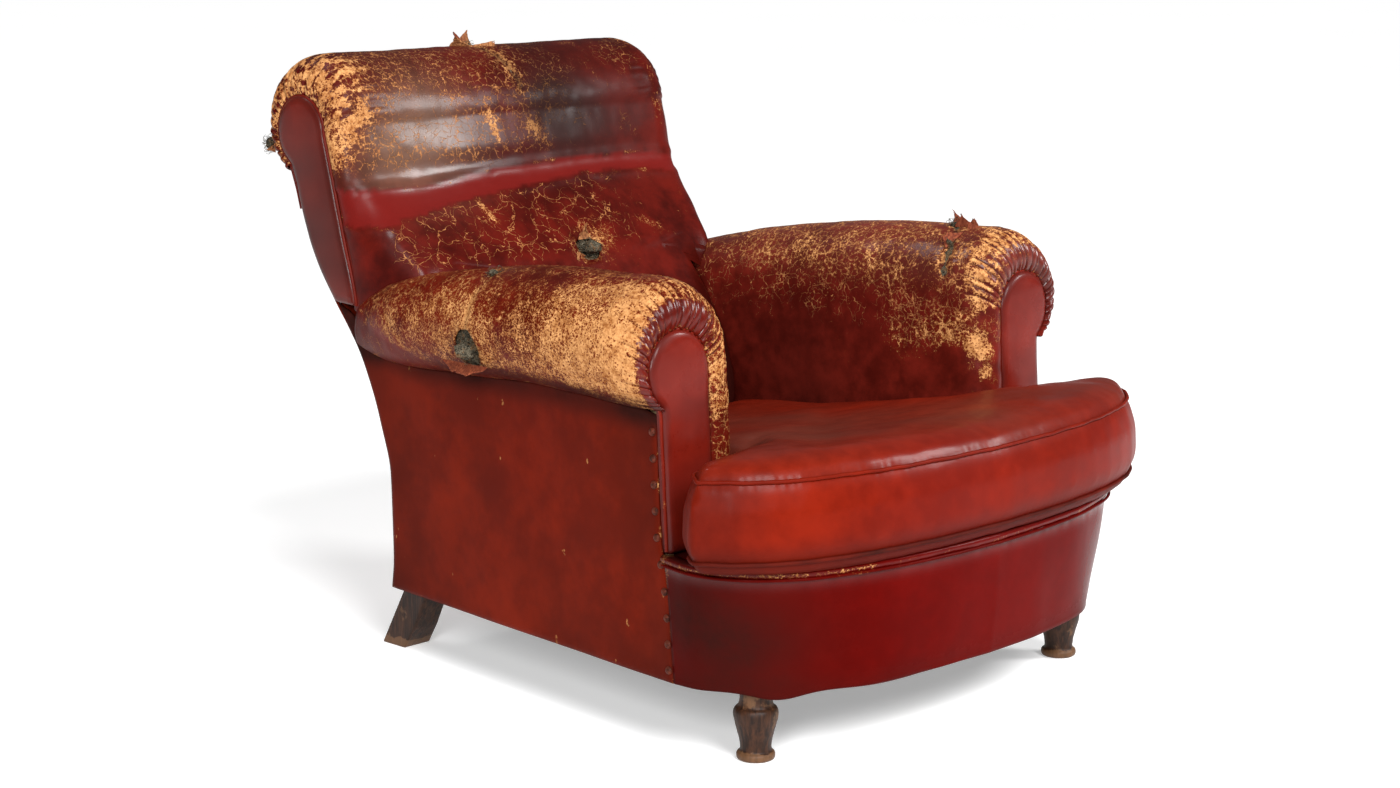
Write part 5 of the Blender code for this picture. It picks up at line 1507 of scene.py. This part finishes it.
def flap(name, root, across, rise, curl, seed, taper, thick=0.0016, finish=TORN, ragged=0.3):
    """A torn tongue of hide: it leaves root, the middle of its hinge, along rise.

    It bends over by curl, and across is half its width, as a vector.
    """
    root, across, rise, curl = (np.array(v, float) for v in (root, across, rise, curl))
    rows, columns = 22, 18
    grid = np.zeros((rows, columns, 3))
    us = np.linspace(-1, 1, columns)
    torn = [1 + ragged * noise.fractal(Vector((u * 3.1, seed, 0)), 0.7, 2.2, 3) for u in us]
    for i, t in enumerate(np.linspace(0, 1, rows)):
        narrow = (1 - taper * t**1.6) * 0.96 + 0.04
        sway = 0.14 * math.sin(3 * t + seed)
        for j, u in enumerate(us):
            reach = t * torn[j] * (1 - 0.35 * u * u)
            crumple = 0.05 * noise.noise(Vector((u * 2.2, t * 3.0, seed)))
            grid[i, j] = (root + across * (u * narrow + sway * t) + rise * (reach + crumple * t)
                          + curl * (reach**2 + 0.25 * u * u * t + 2.2 * crumple * t))
    normal = grid_normals(grid)
    bm = bmesh.new()
    top, under = ([[bm.verts.new(p) for p in row] for row in grid + normal * offset]
                  for offset in (thick / 2, -thick / 2))
    for i in range(rows - 1):
        for j in range(columns - 1):
            for sheet in (top, under):
                bm.faces.new((sheet[i][j], sheet[i][j + 1], sheet[i + 1][j + 1], sheet[i + 1][j]))
    top_ends, under_ends = ([[row[k] for row in sheet] for k in (0, -1)] for sheet in (top, under))
    for a, b in zip([top[0], top[-1], *top_ends], [under[0], under[-1], *under_ends]):
        for i in range(len(a) - 1):
            bm.faces.new((a[i], a[i + 1], b[i + 1], b[i]))
    bmesh.ops.recalc_face_normals(bm, faces=bm.faces)
    settle(piece(name, bm), "arm_leather" if "arm" in name else "back_leather", finish)


def near_arm_tears():
    x, y, z = ARM_HOLE
    hair_clump("arm_hole_hair", (x + 0.0050, y, z + 0.003), (0.0125, 0.0205, 0.0205), 0.0, 260, 5)
    hair_clump("arm_top_hair", (-0.362, 0.030, 0.5795), (0.0060, 0.0080, 0.0045), 0.6, 26, 9)
    flap("arm_hole_flap", (x + 0.004, y + 0.014, 0.4600), (0.0, 0.044, 0.0),
         (-0.006, 0.0, -0.0135), (-0.0055, 0.0, 0.001), 3.0, 0.45, 0.0020, TORN_RED, 0.18)


def back_tears():
    x, y, z = BACK_HOLE
    hair_clump("back_tear_hair", (x, y + 0.0045, z), (0.0200, 0.0120, 0.0090), 0.0, 90, 7)
    flap("back_tear_flap", (x - 0.004, y + 0.012, z + 0.011), (0.010, 0.0, 0.0),
         (0.002, 0.004, 0.022), (0.0, -0.008, 0.0), 1.0, 0.9)
    flap("back_tear_lip", (x - 0.018, y + 0.002, z - 0.008), (0.008, 0.0, -0.004),
         (-0.012, -0.002, -0.008), (0.0, -0.004, 0.0), 2.0, 0.8)


def back_top_tears():
    flap("back_top_flap", (-0.016, 0.486, 0.8405), (0.017, -0.004, 0.0),
         (0.006, 0.006, 0.027), (0.004, -0.003, -0.002), 4.0, 0.9, 0.002)
    flap("back_top_flap_behind", (-0.004, 0.500, 0.8395), (0.016, 0.006, 0.0),
         (-0.006, 0.004, 0.022), (-0.004, 0.004, 0.0), 5.0, 0.8, 0.002, TORN_RED)
    flap("back_top_flap_front", (0.004, 0.468, 0.8400), (0.018, -0.012, -0.002),
         (0.016, -0.008, 0.014), (0.004, -0.002, -0.004), 6.5, 0.8)
    flap("back_top_flap_side", (-0.026, 0.478, 0.8410), (0.016, -0.008, 0.0),
         (-0.010, -0.004, 0.017), (-0.003, -0.002, 0.0), 2.7, 0.9, 0.0018)
    hair_clump("back_top_hair", (-0.008, 0.488, 0.8435), (0.011, 0.008, 0.005), 0.0, 34, 12)


def back_rear_tears():
    hair_clump("back_rear_fluff", (-0.316, 0.568, 0.712), (0.008, 0.0085, 0.010), 0.3, 60, 31)
    flap("back_rear_flap", (-0.312, 0.560, 0.716), (0.005, 0.008, 0.012),
         (-0.005, 0.015, -0.002), (0.0, 0.002, -0.003), 2.2, 0.7)
    flap("back_rear_flap_low", (-0.318, 0.556, 0.706), (0.003, 0.004, 0.006),
         (-0.009, 0.008, -0.004), (0.002, 0.002, 0.002), 7.1, 0.8)


def far_arm_tears():
    ridge = [((0.342, -0.196, 0.5975), 0.019), ((0.334, -0.208, 0.5975), 0.017),
             ((0.330, -0.222, 0.5970), 0.014), ((0.326, -0.236, 0.5955), 0.013),
             ((0.318, -0.252, 0.5930), 0.009), ((0.308, -0.266, 0.5880), 0.006)]
    for k, (root, height) in enumerate(ridge):
        flap(f"arm_tear_flap_{k + 1}", root, (0.008, -0.010, 0.0),
             (0.003 - 0.004 * (k % 2), 0.005 - 0.008 * (k % 3), height), (-0.004, 0.004, 0.0),
             1.7 + 2.1 * k, 0.85, finish=TORN_RED, ragged=0.5)
    flap("arm_tear_lip", (0.290, -0.226, 0.5840), (0.014, -0.004, 0.010),
         (-0.003, 0.010, 0.007), (-0.003, 0.002, 0.002), 9.4, 0.6, 0.0018, TORN_RED, 0.4)
    hair_clump("arm_tear_hair", (0.336, -0.193, 0.5985), (0.0120, 0.0080, 0.0050), 0.2, 40, 15)
    hair_clump("arm_tear_hair_low", (0.284, -0.2235, 0.5790), (0.0110, 0.0040, 0.0040),
               0.7, 14, 21)


# What keeps the shape of its solid takes its finish from the record's slot.

def inner_parts():
    finishes = {"frame_beech": BEECH, "webbing": JUTE, "hessian": HESSIAN, "horsehair": HAIR,
                "spring_steel": STEEL, "black_cloth": LINING, "border_leather": BORDER,
                "leg_wood": LEG, "arm_leather": ARM, "back_leather": BACK, "panel_leather": SIDE,
                "cushion_leather": CUSHION}
    slots = {part["node"]: part["material_slot"] for part in frame["record"]["subparts"]}
    for name, obj in frame["nodes"].items():
        for slot in obj.material_slots:
            slot.material = finishes[slots[name]]


# Floor, light and camera.

FLOOR_SIZE, FLOOR_GLOW, SKY_LIGHT = 40.0, 0.34, 0.15
SUN_FROM, SUN_POWER, SUN_WIDE = (-0.9, -2.6, 2.7), 3.3, math.radians(24)
LAMPS = [("key", (2.2, -2.4, 2.3), 1.1, 95.0), ("left", (-3.0, -2.0, 1.7), 1.1, 90.0),
         ("top", (-0.6, 1.2, 2.9), 1.2, 24.0)]
LAMP_AIM = (0, 0, 0.4)
CAMERA_AT, CAMERA_LENS, SENSOR = (-2.6723, -2.5834, 1.0876), 68.19, 36.0
CAMERA_TURN, CAMERA_ABOVE = math.radians(-45.966), math.radians(10.929)


def pale_floor():
    bm = bmesh.new()
    bmesh.ops.create_grid(bm, x_segments=1, y_segments=1, size=FLOOR_SIZE / 2)
    floor = piece("floor", bm)
    f = Finish("pale_floor")
    colour = f.mix(f.noise(0.6, 2), (0.82, 0.82, 0.82), (0.85, 0.85, 0.85))
    floor.data.materials.append(f.finish(colour, Roughness=0.9, Emission_Strength=FLOOR_GLOW))


def white_sky():
    """A world that is white where it is seen, and dimmer as a light."""
    world = bpy.data.worlds.new("studio")
    bpy.context.scene.world = world
    world.use_nodes = True
    nodes, links = world.node_tree.nodes, world.node_tree.links
    sky = nodes["Background"]
    sky.inputs["Color"].default_value = (1.0, 1.0, 1.0, 1.0)
    seen, level = nodes.new("ShaderNodeLightPath"), nodes.new("ShaderNodeMapRange")
    level.inputs["To Min"].default_value, level.inputs["To Max"].default_value = SKY_LIGHT, 1.0
    links.new(seen.outputs["Is Camera Ray"], level.inputs["Value"])
    links.new(level.outputs[0], sky.inputs["Strength"])


def put_light(light, at):
    lamp = bpy.data.objects.new(light.name, light)
    lamp.location = at
    lamp.rotation_euler = (Vector(at) - Vector(LAMP_AIM)).to_track_quat("Z", "Y").to_euler()
    bpy.context.scene.collection.objects.link(lamp)


def set_lights():
    sun = bpy.data.lights.new("daylight", "SUN")
    sun.energy, sun.angle = SUN_POWER, SUN_WIDE
    put_light(sun, SUN_FROM)
    for name, at, size, power in LAMPS:
        light = bpy.data.lights.new(name, "AREA")
        light.energy, light.shape, light.size = power, "DISK", size
        put_light(light, at)


def set_camera():
    """In front of the chair, to its left and a little above the seat."""
    level = math.cos(CAMERA_ABOVE)
    behind = Vector((math.sin(CAMERA_TURN) * level, -math.cos(CAMERA_TURN) * level,
                     math.sin(CAMERA_ABOVE)))
    camera = bpy.data.objects.new("camera", bpy.data.cameras.new("camera"))
    camera.data.sensor_width, camera.data.lens = SENSOR, CAMERA_LENS
    camera.location = CAMERA_AT
    camera.rotation_euler = behind.to_track_quat("Z", "Y").to_euler()
    bpy.context.scene.collection.objects.link(camera)
    bpy.context.scene.camera = camera
    bpy.context.scene.view_settings.view_transform = "Standard"


set_camera()
pale_floor()
white_sky()
set_lights()
inner_parts()
near_arm_cover()
far_arm_cover()
back_hide()
arm_facings()
back_facings()
side_panels()
rear_hide()
border_hide()
border_tucks()
underside_cloth()
cushion()
front_legs()
rear_legs()
near_arm_tears()
back_tears()
back_top_tears()
back_rear_tears()
far_arm_tears()
